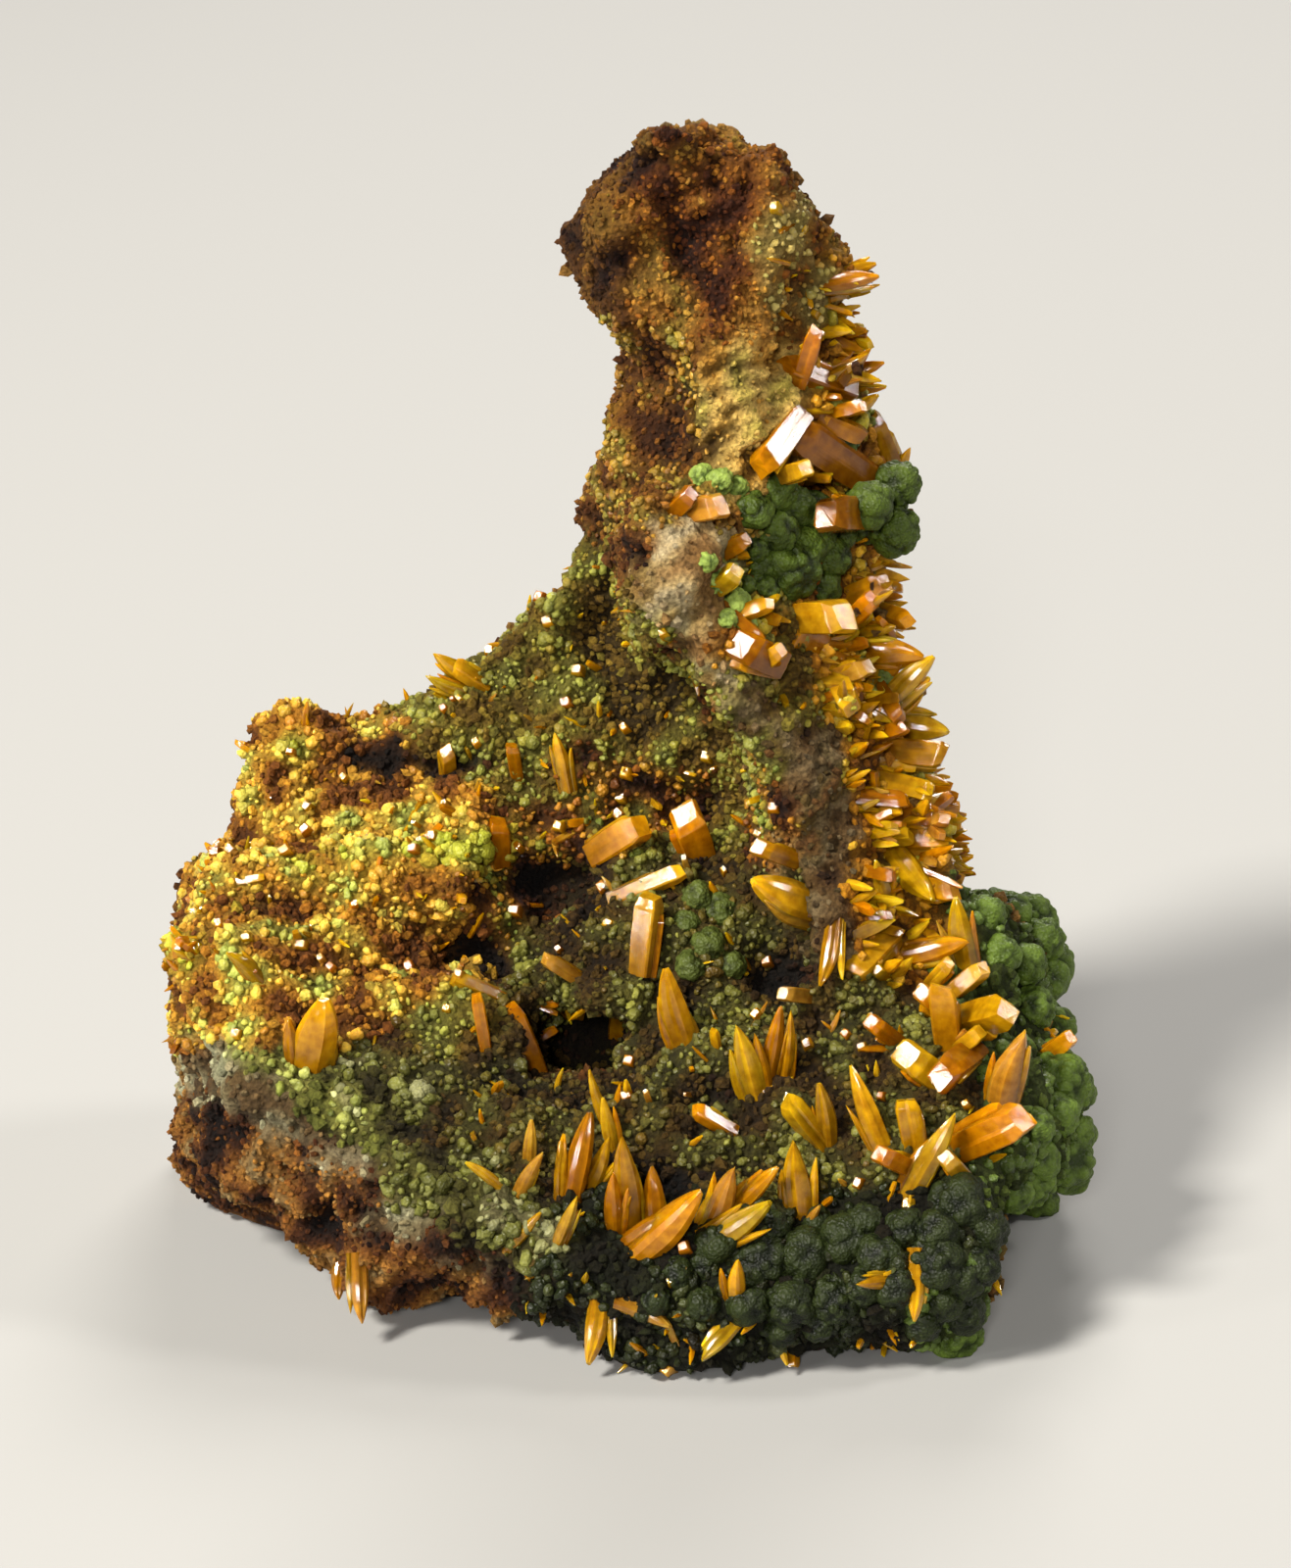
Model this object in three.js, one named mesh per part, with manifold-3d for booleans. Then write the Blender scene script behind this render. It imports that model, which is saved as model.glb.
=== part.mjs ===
// A hand-sized mineral specimen: wulfenite with mimetite on limonite.
// The limonite is chair-shaped: a floor that slopes up to a back wall, and a tower at the right whose
// buttress comes forward onto the floor. Millimetres, +X right, +Y back, +Z up. The origin is on the
// flat underside.
import * as THREE from "three";
import Module from "manifold-3d";
import { mergeVertices } from "three/addons/utils/BufferGeometryUtils.js";
import { ImprovedNoise } from "three/addons/math/ImprovedNoise.js";

// ---- The display plane ----
// Outlines and places on the specimen's face are given on a plane that leans back and passes through the
// axis: u across it, v up it, in millimetres. A sight line runs from the eye through (u, v) into the rock.
const PLANE_HEIGHT = 55;
const PLANE_LEAN = THREE.MathUtils.degToRad(20);
const EYE_DISTANCE = 450;

// ---- The rock ----
const FACET = 5.1; // grid step of the rock's facets
const BLEND = 3.5; // how far neighbouring masses run into each other
const ROUNDING = 2.5; // how far a mass's own faces round into each other
const SUNK = -8; // the masses end this far below the underside, which is then cut flat
const SEAT_GAP = 0.3; // clearance between a piece and what it grows on
const FILL_DEPTH = 0.2; // how far inside a filled-in grid corner then counts
const FAR = 1000; // a distance beyond any in the rock
const LONGEST_SLIDE = 10; // how far in from the outline a crystal's root may be moved to find rock
const ROCK_LOW = [-66, -52, -20];
const ROCK_HIGH = [62, 48, 138];

const LIMONITE_FINISH = { color: 0x7a4a22, roughness: 0.92, metalness: 0 };

// Each mass of rock fills its outline on the display plane, from its front faces to its back.
// A face [y, du, dv] lies at depth y + du * u + dv * v.
const MASSES = {
  base: {
    outline: [
      [-46.5, 7], [-42, 11], [-35, 10], [-33.5, 6], [-21, 0], [-2, -3.5], [15.5, -5.5], [30, -9],
      [35, -16], [42, -15.5], [44.5, -22], [45, -29], [44.5, -42], [40.5, -46], [39, -55.5],
      [37, -63.5], [27.5, -64.5], [23.5, -61.5], [15.5, -64], [8, -63], [3.5, -66], [-0.5, -66.5],
      [-5.5, -64.5], [-7.5, -60.5], [-14.5, -58.5], [-20, -57], [-25.5, -57.5], [-30, -60],
      [-35, -59], [-37.5, -54.5], [-40, -50], [-49.5, -46.5], [-52, -43.5], [-53.5, -36.5],
      [-51, -31.5], [-54.5, -21], [-51.5, -14.5], [-52, -8.5], [-47, -6.5], [-45.5, -3.5], [-47.5, 0.5],
    ],
    fronts: [[15.3, 0, 0.985], [-36, 0, 0.05], [-52.3, -0.616, -0.127]],
    backs: [[38, 0, 0.05], [47, 0.45, 0], [50, -0.5, 0]],
  },
  wall: {
    outline: [
      [-35.5, 6], [-28.5, 8], [-25.5, 12.5], [-18, 16.5], [-16, 19], [-9, 23.5], [-2, 27.5],
      [15.5, 22], [27, 11], [30.5, 0], [31.5, -11], [-2, -9], [-20, -6.5], [-32, 0],
    ],
    fronts: [[13, -0.15, 0.3]],
    backs: [[36, 0, -0.1], [44, 0.4, 0], [46, -0.45, 0]],
  },
  buttress: {
    outline: [
      [3.5, 35.5], [-0.5, 31], [-2, 26.5], [-1, 20], [3.5, 12], [8.5, 10], [13, 4.5], [15, -3.5],
      [17, -11], [19.5, -19], [22.5, -23.5], [30, -23.5], [34.5, -18], [32, -14], [31, -8], [30.5, 0],
      [29.5, 9], [26.5, 16], [24.5, 22], [27.5, 26.5], [28, 34.5], [24.5, 40], [15.5, 42],
    ],
    fronts: [[-7.1, 0, 0.152], [-17.5, 0.8, 0.51]],
    backs: [[33, 0, 0]],
  },
  neck: {
    outline: [
      [-3, 52], [-3, 50.5], [-3.5, 45], [-5, 41], [-5, 38], [-3, 34.5], [2.5, 29], [27, 33.5],
      [24.5, 40], [22, 44.5], [23, 48], [21.5, 52],
    ],
    fronts: [[16, 0, 0]],
    backs: [[33, 0, 0]],
  },
  neck_shelf: {
    outline: [
      [6, 50], [15.5, 50.5], [21.5, 50], [22, 44.5], [24, 39.5], [15.5, 36.5], [3.5, 34], [3.5, 39],
      [4.5, 44.5],
    ],
    fronts: [[6.5, 0, 0], [-4, 0.9, 0]],
    backs: [[30, 0, 0]],
  },
  head: {
    outline: [
      [-5.5, 69.5], [-3, 74], [3.5, 75.5], [7, 74], [9.5, 71.5], [10.5, 73.5], [16, 73.5], [17.5, 71],
      [20, 69.5], [21, 65.5], [22, 61.5], [23, 55.5], [21.5, 51], [11.5, 50], [2.5, 50.5], [-3, 50],
      [-5.5, 54.5], [-7.5, 58.5], [-11.5, 61], [-11.5, 65], [-6.5, 66],
    ],
    fronts: [[10, 0, 0], [-2, 0.9, 0]],
    backs: [[31, 0, 0]],
  },
  ledge: {
    outline: [[-10, 29.5], [-8.5, 36], [-2, 36], [3.5, 31], [3.5, 20], [-3, 18], [-10, 21.5]],
    fronts: [[18, 0, 0]],
    backs: [[33, 0, 0]],
  },
  shoulder: {
    outline: [[33.5, -15], [42, -15], [45, -22], [45.5, -29], [43.5, -34.5], [33.5, -29]],
    fronts: [[2, 0, 0]],
    backs: [[18, 0, 0]],
  },
  right_lobe: {
    outline: [[38, -31], [48.5, -31.5], [51, -39], [47, -45.5], [38, -45]],
    fronts: [[-17, 0, 0]],
    backs: [[4, 0, 0]],
  },
};

// Hollows in the face: place u, v, depth y, then half sizes across, up and into the rock.
const HOLLOWS = [
  [-6.5, -29, -2, 6, 5, 9], // the deep pit in the floor
  [-13, -12, 8, 6, 3.5, 7], // cleft behind the rough ledge
  [-17, -18, 2, 7, 3, 6], // cleft in front of it
  [14.5, -21, -3, 5, 4, 8], // hole under the buttress
  [4, 35, 8, 2.5, 6, 8], // cleft left of the neck shelf
  [5, 62, 7, 7, 8, 6], // dished face of the head
  [9, -2, 12, 6, 5, 4], // recess beside the buttress
];

// ---- The mimetite ----
// Balls by cluster: u, v, radius. A fourth number is the depth y of a ball that hangs past the rock's edge;
// the others sit on the rock, sunk by part of their radius.
const BALL_SINK = 0.25;
const MIMETITE_FINISH = { color: 0x4f6e2c, roughness: 0.5, metalness: 0 };
const MIMETITE = {
  tower_cluster: [
    [14.3, 33.3, 3.1], [18.6, 30.4, 3.1], [14.5, 28.6, 3.1], [16.3, 24.4, 4.1], [20.8, 25.8, 2.8],
  ],
  tower_right: [
    [28.5, 33.9, 3, 18], [28.2, 28.8, 3.2, 16], [25.5, 31.6, 3, 13],
  ],
  back_right_lobes: [
    [39.1, -15.3, 4, 14], [43.5, -15.3, 3.4, 17], [44.8, -20.6, 4.2, 12], [41.1, -20.6, 4, 8],
  ],
  right_lobes: [
    [46.8, -34, 4.1, -8], [45.3, -38, 3.3, -11], [47.1, -42.3, 4.1, -10], [43.5, -44.9, 3.3, -17],
  ],
  front_right_lobes: [
    [35.4, -48, 4.1], [39.1, -46.6, 3.1, -19], [32.9, -54.3, 3.6], [36.5, -52.2, 3.3, -25],
  ],
  lower_right_lobe: [
    [34.8, -61.8, 3.7, -31],
  ],
  front_rim: [
    [8.5, -52, 3.2], [12.9, -54.1, 3.7], [17.9, -53.6, 3.7], [22.6, -51.6, 3.2], [16.4, -58.7, 3.2],
    [21.3, -58.4, 3],
  ],
};

// ---- The wulfenite ----
// A crystal grows from its root to its tip and is six-sided. Profiles run from root to tip as pairs of
// share of the length and share of the width.
const BLADE = [[0, 0.85], [0.6, 1], [1, 0.2]]; // pointed, swelling in the middle
const BLOCK = [[0, 0.9], [0.9, 1], [1, 0.8]]; // blunt, with a bevelled end
const CRYSTAL_SIDES = 6;
const ROOTING = 2; // how far a crystal's root is taken into what it grows on before it is trimmed
const SMALLEST = 6; // chips under this many cubic millimetres are left out
const WULFENITE_FINISH = { color: 0xd08a1e, roughness: 0.25, metalness: 0 };

// Crystals by group: tip u, v, root u, v, how much nearer the eye the tip is, width, thickness,
// turn about the crystal's own axis in degrees, profile.
const WULFENITE = {
  front_fan: [
    [-7.1, -37.1, -8.4, -46.3, 3, 3, 1.7, 20, BLADE],
    [-3.5, -40.6, -6.7, -46.1, 3, 2.2, 1.3, 30, BLADE],
    [-2.8, -40.1, -1.8, -50, 4, 3.1, 1.9, -20, BLADE],
    [-3.3, -44.2, -3.5, -50.4, 5, 2.2, 1.3, 0, BLADE],
    [0.5, -43.4, 0.9, -49.1, 3, 2.7, 1.6, 10, BLADE],
    [6.5, -46.6, -0.4, -52.8, 5, 3.9, 2.7, 0, BLADE],
  ],
  front_right: [
    [10.3, -43.8, 7.7, -49.6, 3, 3.1, 1.9, 0, BLADE],
    [14.2, -47.8, 7.7, -51.7, 4, 3.1, 1.9, 0, BLADE],
    [16.8, -40.6, 17.5, -48.4, 2, 3.3, 2, 0, BLADE],
  ],
  floor: [
    [-2.1, -18.4, -2.9, -27, 3, 3.1, 2.2, 0, BLADE],
    [1.5, -21.2, 4.4, -29, 3, 3.3, 2.3, 0, BLADE],
    [0.4, -12.7, -0.3, -19.8, 3, 2.7, 2.1, 20, BLOCK],
    [9.9, -27.6, 12.4, -34.8, 3, 3.1, 1.9, 0, BLADE],
    [20.5, -34, 20.7, -40.2, 3, 2.4, 1.7, 0, BLADE],
    [22.4, -32.4, 26.8, -41.1, 3, 2.8, 1.9, 10, BLOCK],
  ],
  back_floor: [
    [-0.5, -4.7, -4.5, -7.3, 3, 3.3, 2.7, 10, BLOCK],
    [4.6, -3.3, 5.9, -7.1, 3, 3.6, 2.5, 0, BLOCK],
  ],
  left_floor: [
    [-15.4, -25.1, -12.6, -32, 2, 2.4, 2, 10, BLOCK],
    [-38.9, -25.1, -35.6, -30.9, 3, 2.6, 1.5, 0, BLADE],
  ],
  right_group: [
    [41.1, -25.8, 36.2, -26.9, 8, 3.4, 3.3, 45, BLOCK],
    [33.5, -22.9, 34.2, -29.3, 3, 3, 2.4, 0, BLOCK],
    [41.3, -28, 40.2, -36.3, 5, 3.7, 2.6, 0, BLADE],
    [29.5, -30.6, 33.7, -33.7, 3, 3.4, 2.8, 0, BLOCK],
    [33.5, -33.3, 36.6, -30.9, 7, 3.1, 2.8, 10, BLOCK],
  ],
  right_low: [
    [29.6, -35.8, 30.5, -41.1, 3, 2.8, 1.9, 0, BLOCK],
    [34.3, -37.1, 30.4, -45.3, 3, 2.8, 1.7, 10, BLADE],
    [42.6, -37.8, 36.2, -40.8, 5, 3.9, 3.1, 10, BLOCK],
  ],
  buttress_foot: [
    [12.3, -11.8, 18.2, -13.6, 5, 4.7, 2.8, 0, BLADE],
    [23.5, -21.7, 26.8, -18.4, 3, 2.8, 2.2, 20, BLOCK],
  ],
  flank_low: [
    [31.9, -13.8, 28.2, -8, 3, 3.8, 2.3, 0, BLADE],
    [34.6, -13.1, 36.3, -20, 2, 3, 1.8, 0, BLADE],
    [36.5, -18.2, 30.4, -19.3, 2, 2.9, 2, 0, BLADE],
  ],
  flank_middle: [
    [33.9, 3.1, 29.3, 3.6, 1, 3.1, 2.2, 0, BLOCK],
    [34.3, 6.1, 29.3, 6.9, 1, 3.3, 2, 0, BLADE],
    [32.4, 14.7, 27.9, 9.7, 1, 2.9, 1.7, 0, BLADE],
  ],
  flank_high: [
    [31.5, 15.4, 25.1, 15.1, 2, 3.4, 2.1, 0, BLADE],
    [22.7, 19.1, 18.2, 18.9, 4, 4, 3.2, 0, BLOCK],
    [15.6, 17.8, 18.4, 16.4, 3, 3.4, 2.8, 0, BLOCK],
    [10.6, 15.8, 14.8, 14, 4, 4.1, 3.3, 0, BLOCK],
  ],
  tower_front: [
    [20.4, 30.3, 27.7, 30.6, 7, 3.8, 3, 0, BLOCK],
  ],
  tower: [
    [12.9, 35.8, 16.6, 40.7, 5, 3, 2.2, 0, BLOCK],
    [16.2, 40, 25.7, 34, 5, 3.1, 2.3, 0, BLOCK],
    [25.1, 41.3, 27.2, 36.2, 3, 3.7, 2.9, 0, BLOCK],
  ],
  tower_upper: [
    [15.8, 47.4, 21.9, 45.1, 4, 2.6, 2, 0, BLOCK],
  ],
  underside: [
    [-5.8, -65.8, -5.2, -59.3, 1, 2.9, 2.3, 0, BLOCK],
    [-32.3, -61.1, -32.5, -55.2, 1, 2.4, 2, 0, BLOCK],
    [30.5, -60.9, 30.6, -54.7, 1, 2.9, 2.3, 0, BLOCK],
  ],
};

// Smaller crystals of the tower's right flank, one piece with the rock.
const SMALL_WULFENITE = [
  [12.7, -7.2, 16.6, -8.6, 3, 2.1, 1.7, 0, BLOCK],
  [20.8, -22.9, 21.3, -17.2, 2, 2.2, 1.6, 0, BLADE],
  [35.1, -12.1, 32.2, -11.7, 2, 2.6, 1.8, 0, BLOCK],
  [34.4, -9.6, 30.2, -7.6, 1, 2.6, 1.8, 0, BLOCK],
  [34.4, -6.2, 30.2, -6.4, 1, 2.4, 1.7, 0, BLOCK],
  [33.7, -3.8, 29.3, -3.3, 1, 2.7, 1.9, 0, BLOCK],
  [32.4, -1, 28.2, 0.1, 1, 2.4, 1.7, 0, BLOCK],
  [28.9, 7.2, 27.2, 10, 3, 1.9, 1.5, 0, BLOCK],
  [32.3, 11.8, 29.3, 9.3, 1, 2.2, 1.6, 0, BLADE],
  [23.4, 8.6, 21.8, 12, 3, 2.6, 2, 0, BLOCK],
  [25.3, 13.3, 22.1, 12.3, 3, 2.2, 1.8, 0, BLOCK],
  [28.3, 17.8, 24.5, 17.3, 2, 1.9, 1.5, 0, BLADE],
  [28.1, 19.7, 25.5, 18.4, 1, 1.6, 1.2, 0, BLOCK],
  [27.1, 22.8, 23.8, 21.4, 2, 2.7, 1.9, 0, BLOCK],
  [25.7, 21, 23.4, 18.7, 3, 2.3, 1.9, 0, BLOCK],
  [15.4, 15.2, 13.5, 13.8, 3, 1.9, 1.5, 0, BLOCK],
  [18.2, 35.8, 15.6, 35, 6, 2, 1.6, 0, BLOCK],
  [30.2, 37.8, 28.8, 34.2, 2, 1.8, 1.4, 0, BLADE],
  [19.3, 51.3, 17.9, 46.9, 3, 1.9, 1.5, 0, BLOCK],
  [25.4, 47.7, 20.8, 46.1, 2, 2.1, 1.5, 0, BLADE],
  [24.2, 51.7, 23.6, 48, 2, 1.9, 1.5, 0, BLOCK],
  [17.6, 42.7, 22.6, 42.6, 3, 2, 1.6, 0, BLOCK],
  [26.1, 44.3, 23.3, 42, 1, 1.9, 1.5, 0, BLADE],
  [26.4, 57.7, 22.2, 56.9, 1, 2.2, 1.8, 0, BLADE],
];

// Crags: wave length and height of each layer of roughness.
const CRAGS = [
  [21, 2.8],
  [10, 2.4],
];

const wasm = await Module();
wasm.setup();
const perlin = new ImprovedNoise();

const lean = { sin: Math.sin(PLANE_LEAN), cos: Math.cos(PLANE_LEAN) };
const eye = new THREE.Vector3(0, -EYE_DISTANCE * lean.cos, PLANE_HEIGHT + EYE_DISTANCE * lean.sin);

// The point of the display plane that the eye sees p at.
function onPlane(p) {
  const z = p.z - PLANE_HEIGHT;
  const share = EYE_DISTANCE / (EYE_DISTANCE + lean.cos * p.y - lean.sin * z);
  return [p.x * share, (lean.sin * p.y + lean.cos * z) * share];
}

// Minimum or maximum of two distances, rounded over the given reach.
function roundMin(a, b, reach) {
  const h = Math.max(reach - Math.abs(a - b), 0) / reach;
  return Math.min(a, b) - (h * h * reach) / 4;
}
const roundMax = (a, b, reach) => -roundMin(-a, -b, reach);

// Signed distance from (u, v) to a closed outline, negative inside.
function outlineDistance(outline, u, v) {
  let nearest = Infinity;
  let inside = false;
  outline.forEach(([au, av], i) => {
    const [bu, bv] = outline[(i + 1) % outline.length];
    const du = bu - au;
    const dv = bv - av;
    const t = THREE.MathUtils.clamp(((u - au) * du + (v - av) * dv) / (du * du + dv * dv), 0, 1);
    nearest = Math.min(nearest, Math.hypot(u - au - t * du, v - av - t * dv));
    if (av > v !== bv > v && u < au + ((v - av) / dv) * du) inside = !inside;
  });
  return inside ? -nearest : nearest;
}

function massDistance(mass, p, u, v) {
  let d = outlineDistance(mass.outline, u, v);
  for (const [faces, side] of [[mass.fronts, 1], [mass.backs, -1]]) {
    for (const [y, du, dv] of faces) {
      const steepness = Math.hypot(du, dv * lean.sin - 1, dv * lean.cos);
      d = roundMax(d, (side * (y + du * u + dv * v - p.y)) / steepness, ROUNDING);
    }
  }
  return d;
}

function hollowDistance([hu, hv, hy, across, up, into], p, u, v) {
  const k = Math.hypot((u - hu) / across, (v - hv) / up, (p.y - hy) / into);
  return (k - 1) * Math.min(across, up, into);
}

// Signed distance to the rock's surface, roughly in millimetres, negative inside.
function rockDistance(p) {
  const [u, v] = onPlane(p);
  let d = FAR;
  for (const mass of Object.values(MASSES)) d = roundMin(d, massDistance(mass, p, u, v), BLEND);
  for (const hollow of HOLLOWS) d = roundMax(d, -hollowDistance(hollow, p, u, v), BLEND / 2);
  for (const [wave, height] of CRAGS) {
    d += height * perlin.noise(p.x / wave + 3.1, p.y / wave + wave, p.z / wave + 7.7);
  }
  return Math.max(d, SUNK - p.z);
}

// A grid face whose corners are inside and outside by turns would pinch the surface: one corner is filled in.
function fillCheckerboards(value, n, at) {
  for (let again = true; again; ) {
    again = false;
    for (let k = 0; k < n[2]; k++)
      for (let j = 0; j < n[1]; j++)
        for (let i = 0; i < n[0]; i++)
          for (let axis = 0; axis < 3; axis++) {
            const u = [0, 0, 0];
            const v = [0, 0, 0];
            u[(axis + 1) % 3] = 1;
            v[(axis + 2) % 3] = 1;
            if (i + u[0] + v[0] >= n[0] || j + u[1] + v[1] >= n[1] || k + u[2] + v[2] >= n[2]) continue;
            const corners = [
              at(i, j, k),
              at(i + u[0], j + u[1], k + u[2]),
              at(i + u[0] + v[0], j + u[1] + v[1], k + u[2] + v[2]),
              at(i + v[0], j + v[1], k + v[2]),
            ];
            const [a, b, c, d] = corners.map((corner) => value[corner] < 0);
            if (a !== c || b !== d || a === b) continue;
            value[a ? corners[1] : corners[0]] = -FILL_DEPTH;
            again = true;
          }
  }
}

// Naive surface nets: one vertex in each cell that the surface passes through.
function surfaceOf(field, low, high, cell) {
  const n = [0, 1, 2].map((i) => Math.ceil((high[i] - low[i]) / cell) + 1);
  const at = (i, j, k) => i + n[0] * (j + n[1] * k);
  const value = new Float32Array(n[0] * n[1] * n[2]);
  const p = new THREE.Vector3();
  for (let k = 0; k < n[2]; k++)
    for (let j = 0; j < n[1]; j++)
      for (let i = 0; i < n[0]; i++)
        value[at(i, j, k)] = field(p.set(low[0] + i * cell, low[1] + j * cell, low[2] + k * cell));
  fillCheckerboards(value, n, at);
  const vertexOf = new Map();
  const positions = [];
  for (let k = 0; k < n[2] - 1; k++)
    for (let j = 0; j < n[1] - 1; j++)
      for (let i = 0; i < n[0] - 1; i++) {
        const sum = new THREE.Vector3();
        let crossings = 0;
        for (let axis = 0; axis < 3; axis++)
          for (let corner = 0; corner < 4; corner++) {
            const a = [i, j, k];
            a[(axis + 1) % 3] += corner & 1;
            a[(axis + 2) % 3] += corner >> 1;
            const b = [...a];
            b[axis] += 1;
            const va = value[at(...a)];
            const vb = value[at(...b)];
            if (va < 0 === vb < 0) continue;
            const t = va / (va - vb);
            sum.x += a[0] + t * (b[0] - a[0]);
            sum.y += a[1] + t * (b[1] - a[1]);
            sum.z += a[2] + t * (b[2] - a[2]);
            crossings += 1;
          }
        if (!crossings) continue;
        vertexOf.set(at(i, j, k), positions.length / 3);
        sum.multiplyScalar(cell / crossings);
        positions.push(low[0] + sum.x, low[1] + sum.y, low[2] + sum.z);
      }
  const index = [];
  for (let k = 1; k < n[2] - 1; k++)
    for (let j = 1; j < n[1] - 1; j++)
      for (let i = 1; i < n[0] - 1; i++)
        for (let axis = 0; axis < 3; axis++) {
          const next = [i, j, k];
          next[axis] += 1;
          const inside = value[at(i, j, k)] < 0;
          if (inside === value[at(...next)] < 0) continue;
          const u = (axis + 1) % 3;
          const v = (axis + 2) % 3;
          const ring = [[0, 0], [1, 0], [1, 1], [0, 1]].map(([du, dv]) => {
            const cellAt = [i, j, k];
            cellAt[u] -= du;
            cellAt[v] -= dv;
            return vertexOf.get(at(...cellAt));
          });
          if (inside) ring.reverse();
          index.push(ring[2], ring[1], ring[0], ring[3], ring[2], ring[0]);
        }
  const geometry = new THREE.BufferGeometry();
  geometry.setAttribute("position", new THREE.Float32BufferAttribute(positions, 3));
  geometry.setIndex(index);
  return geometry;
}

function solidOf(geometry) {
  const bare = new THREE.BufferGeometry();
  bare.setAttribute("position", geometry.getAttribute("position"));
  if (geometry.index) bare.setIndex(geometry.index);
  const merged = mergeVertices(bare, 1e-4);
  const faces = [];
  for (let i = 0; i < merged.index.count; i += 3) {
    const [a, b, c] = merged.index.array.slice(i, i + 3);
    if (a !== b && b !== c && c !== a) faces.push(a, b, c);
  }
  return new wasm.Manifold(
    new wasm.Mesh({
      numProp: 3,
      vertProperties: new Float32Array(merged.getAttribute("position").array),
      triVerts: new Uint32Array(faces),
    }),
  );
}

function geometryOf(solid) {
  const mesh = solid.getMesh();
  const geometry = new THREE.BufferGeometry();
  geometry.setAttribute("position", new THREE.BufferAttribute(mesh.vertProperties, 3));
  geometry.setIndex(new THREE.BufferAttribute(mesh.triVerts, 1));
  return geometry;
}

// The main body of a solid, without loose chips and bubbles sealed inside it.
function outerBody(solid) {
  return solid.decompose().reduce((a, b) => (b.volume() > a.volume() ? b : a));
}

// ---- Building ----
const ground = solidOf(new THREE.BoxGeometry(200, 200, 60).translate(0, 0, -30));
const bareRock = outerBody(solidOf(surfaceOf(rockDistance, ROCK_LOW, ROCK_HIGH, FACET)).subtract(ground));
const rockSurface = new THREE.Mesh(geometryOf(bareRock));
const raycaster = new THREE.Raycaster();

// The bare rock with its skin moved out by the seat gap, which the pieces on it are trimmed by.
function thickenedRock() {
  const geometry = geometryOf(bareRock);
  geometry.computeVertexNormals();
  const { position, normal } = geometry.attributes;
  for (let i = 0; i < position.count; i++) {
    position.setXYZ(
      i,
      position.getX(i) + SEAT_GAP * normal.getX(i),
      position.getY(i) + SEAT_GAP * normal.getY(i),
      position.getZ(i) + SEAT_GAP * normal.getZ(i),
    );
  }
  return solidOf(geometry);
}

// The point on the sight line through (u, v) that lies this deep along the eye's own axis.
function atDepth(u, v, depth) {
  const share = (EYE_DISTANCE + depth) / EYE_DISTANCE;
  const up = v * share;
  return new THREE.Vector3(
    u * share,
    lean.sin * up + lean.cos * depth,
    PLANE_HEIGHT + lean.cos * up - lean.sin * depth,
  );
}
const depthOf = (p) => lean.cos * p.y - lean.sin * (p.z - PLANE_HEIGHT);

// Where the sight line through (u, v) first meets the rock. Past the edge it slides in towards the axis.
function strike(u, v) {
  for (let slide = 0; slide < LONGEST_SLIDE; slide += 0.5) {
    const through = atDepth(u - Math.sign(u) * slide, v, 0);
    raycaster.set(eye, through.sub(eye).normalize());
    const [hit] = raycaster.intersectObject(rockSurface);
    if (hit) return hit.point;
  }
  throw new Error(`no rock near ${u}, ${v}`);
}

// A six-sided crystal. spare makes it that much bigger all round, for cutting clearance.
function crystal([tipU, tipV, rootU, rootV, nearer, width, thickness, turn, profile], spare = 0) {
  const root = strike(rootU, rootV);
  const tip = atDepth(tipU, tipV, depthOf(root) - nearer);
  const axis = tip.clone().sub(root);
  const length = axis.length() + ROOTING + spare;
  axis.normalize();
  const outline = profile.map(([along, across]) => new THREE.Vector2(across / 2, along * length));
  outline.unshift(new THREE.Vector2(0, 0));
  outline.push(new THREE.Vector2(0, length));
  const geometry = new THREE.LatheGeometry(outline, CRYSTAL_SIDES);
  geometry.scale(width + 2 * spare, 1, thickness + 2 * spare);
  geometry.rotateY(THREE.MathUtils.degToRad(turn));
  const across = axis.clone().cross(root.clone().sub(eye)).normalize();
  const frame = new THREE.Matrix4().makeBasis(across, axis, across.clone().cross(axis));
  frame.setPosition(root.addScaledVector(axis, -ROOTING));
  return solidOf(geometry.applyMatrix4(frame));
}

// A ball of mimetite. spare makes it that much bigger, for cutting clearance.
function ball([u, v, radius, y], spare = 0) {
  const centre = y === undefined ? strike(u, v) : atDepth(u, v, 0);
  const sight = centre.clone().sub(eye).normalize();
  if (y === undefined) centre.addScaledVector(sight, BALL_SINK * radius);
  else centre.addScaledVector(sight, (y - centre.y) / sight.y);
  const geometry = new THREE.IcosahedronGeometry(radius + spare, 1);
  return solidOf(geometry.translate(centre.x, centre.y, centre.z));
}

function pieceOf(name, solid, finish) {
  const piece = new THREE.Mesh(geometryOf(solid), new THREE.MeshStandardMaterial(finish));
  piece.name = name;
  return piece;
}

// The rock, with the flank's smaller crystals grown fast to it.
function limoniteMatrix() {
  const flank = SMALL_WULFENITE.map((entry) => crystal(entry));
  const rock = outerBody(wasm.Manifold.union([bareRock, ...flank]).subtract(ground));
  return pieceOf("limonite_matrix", rock, LIMONITE_FINISH);
}

// One piece for each lump of balls that run together.
function mimetiteLumps(bed) {
  return Object.entries(MIMETITE).flatMap(([cluster, list]) => {
    const grown = wasm.Manifold.union(list.map((entry) => ball(entry))).subtract(bed);
    const lumps = grown.decompose().filter((solid) => solid.volume() > SMALLEST);
    return lumps.map((solid, i) => pieceOf(`mimetite_${cluster}_${i + 1}`, solid, MIMETITE_FINISH));
  });
}

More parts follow.
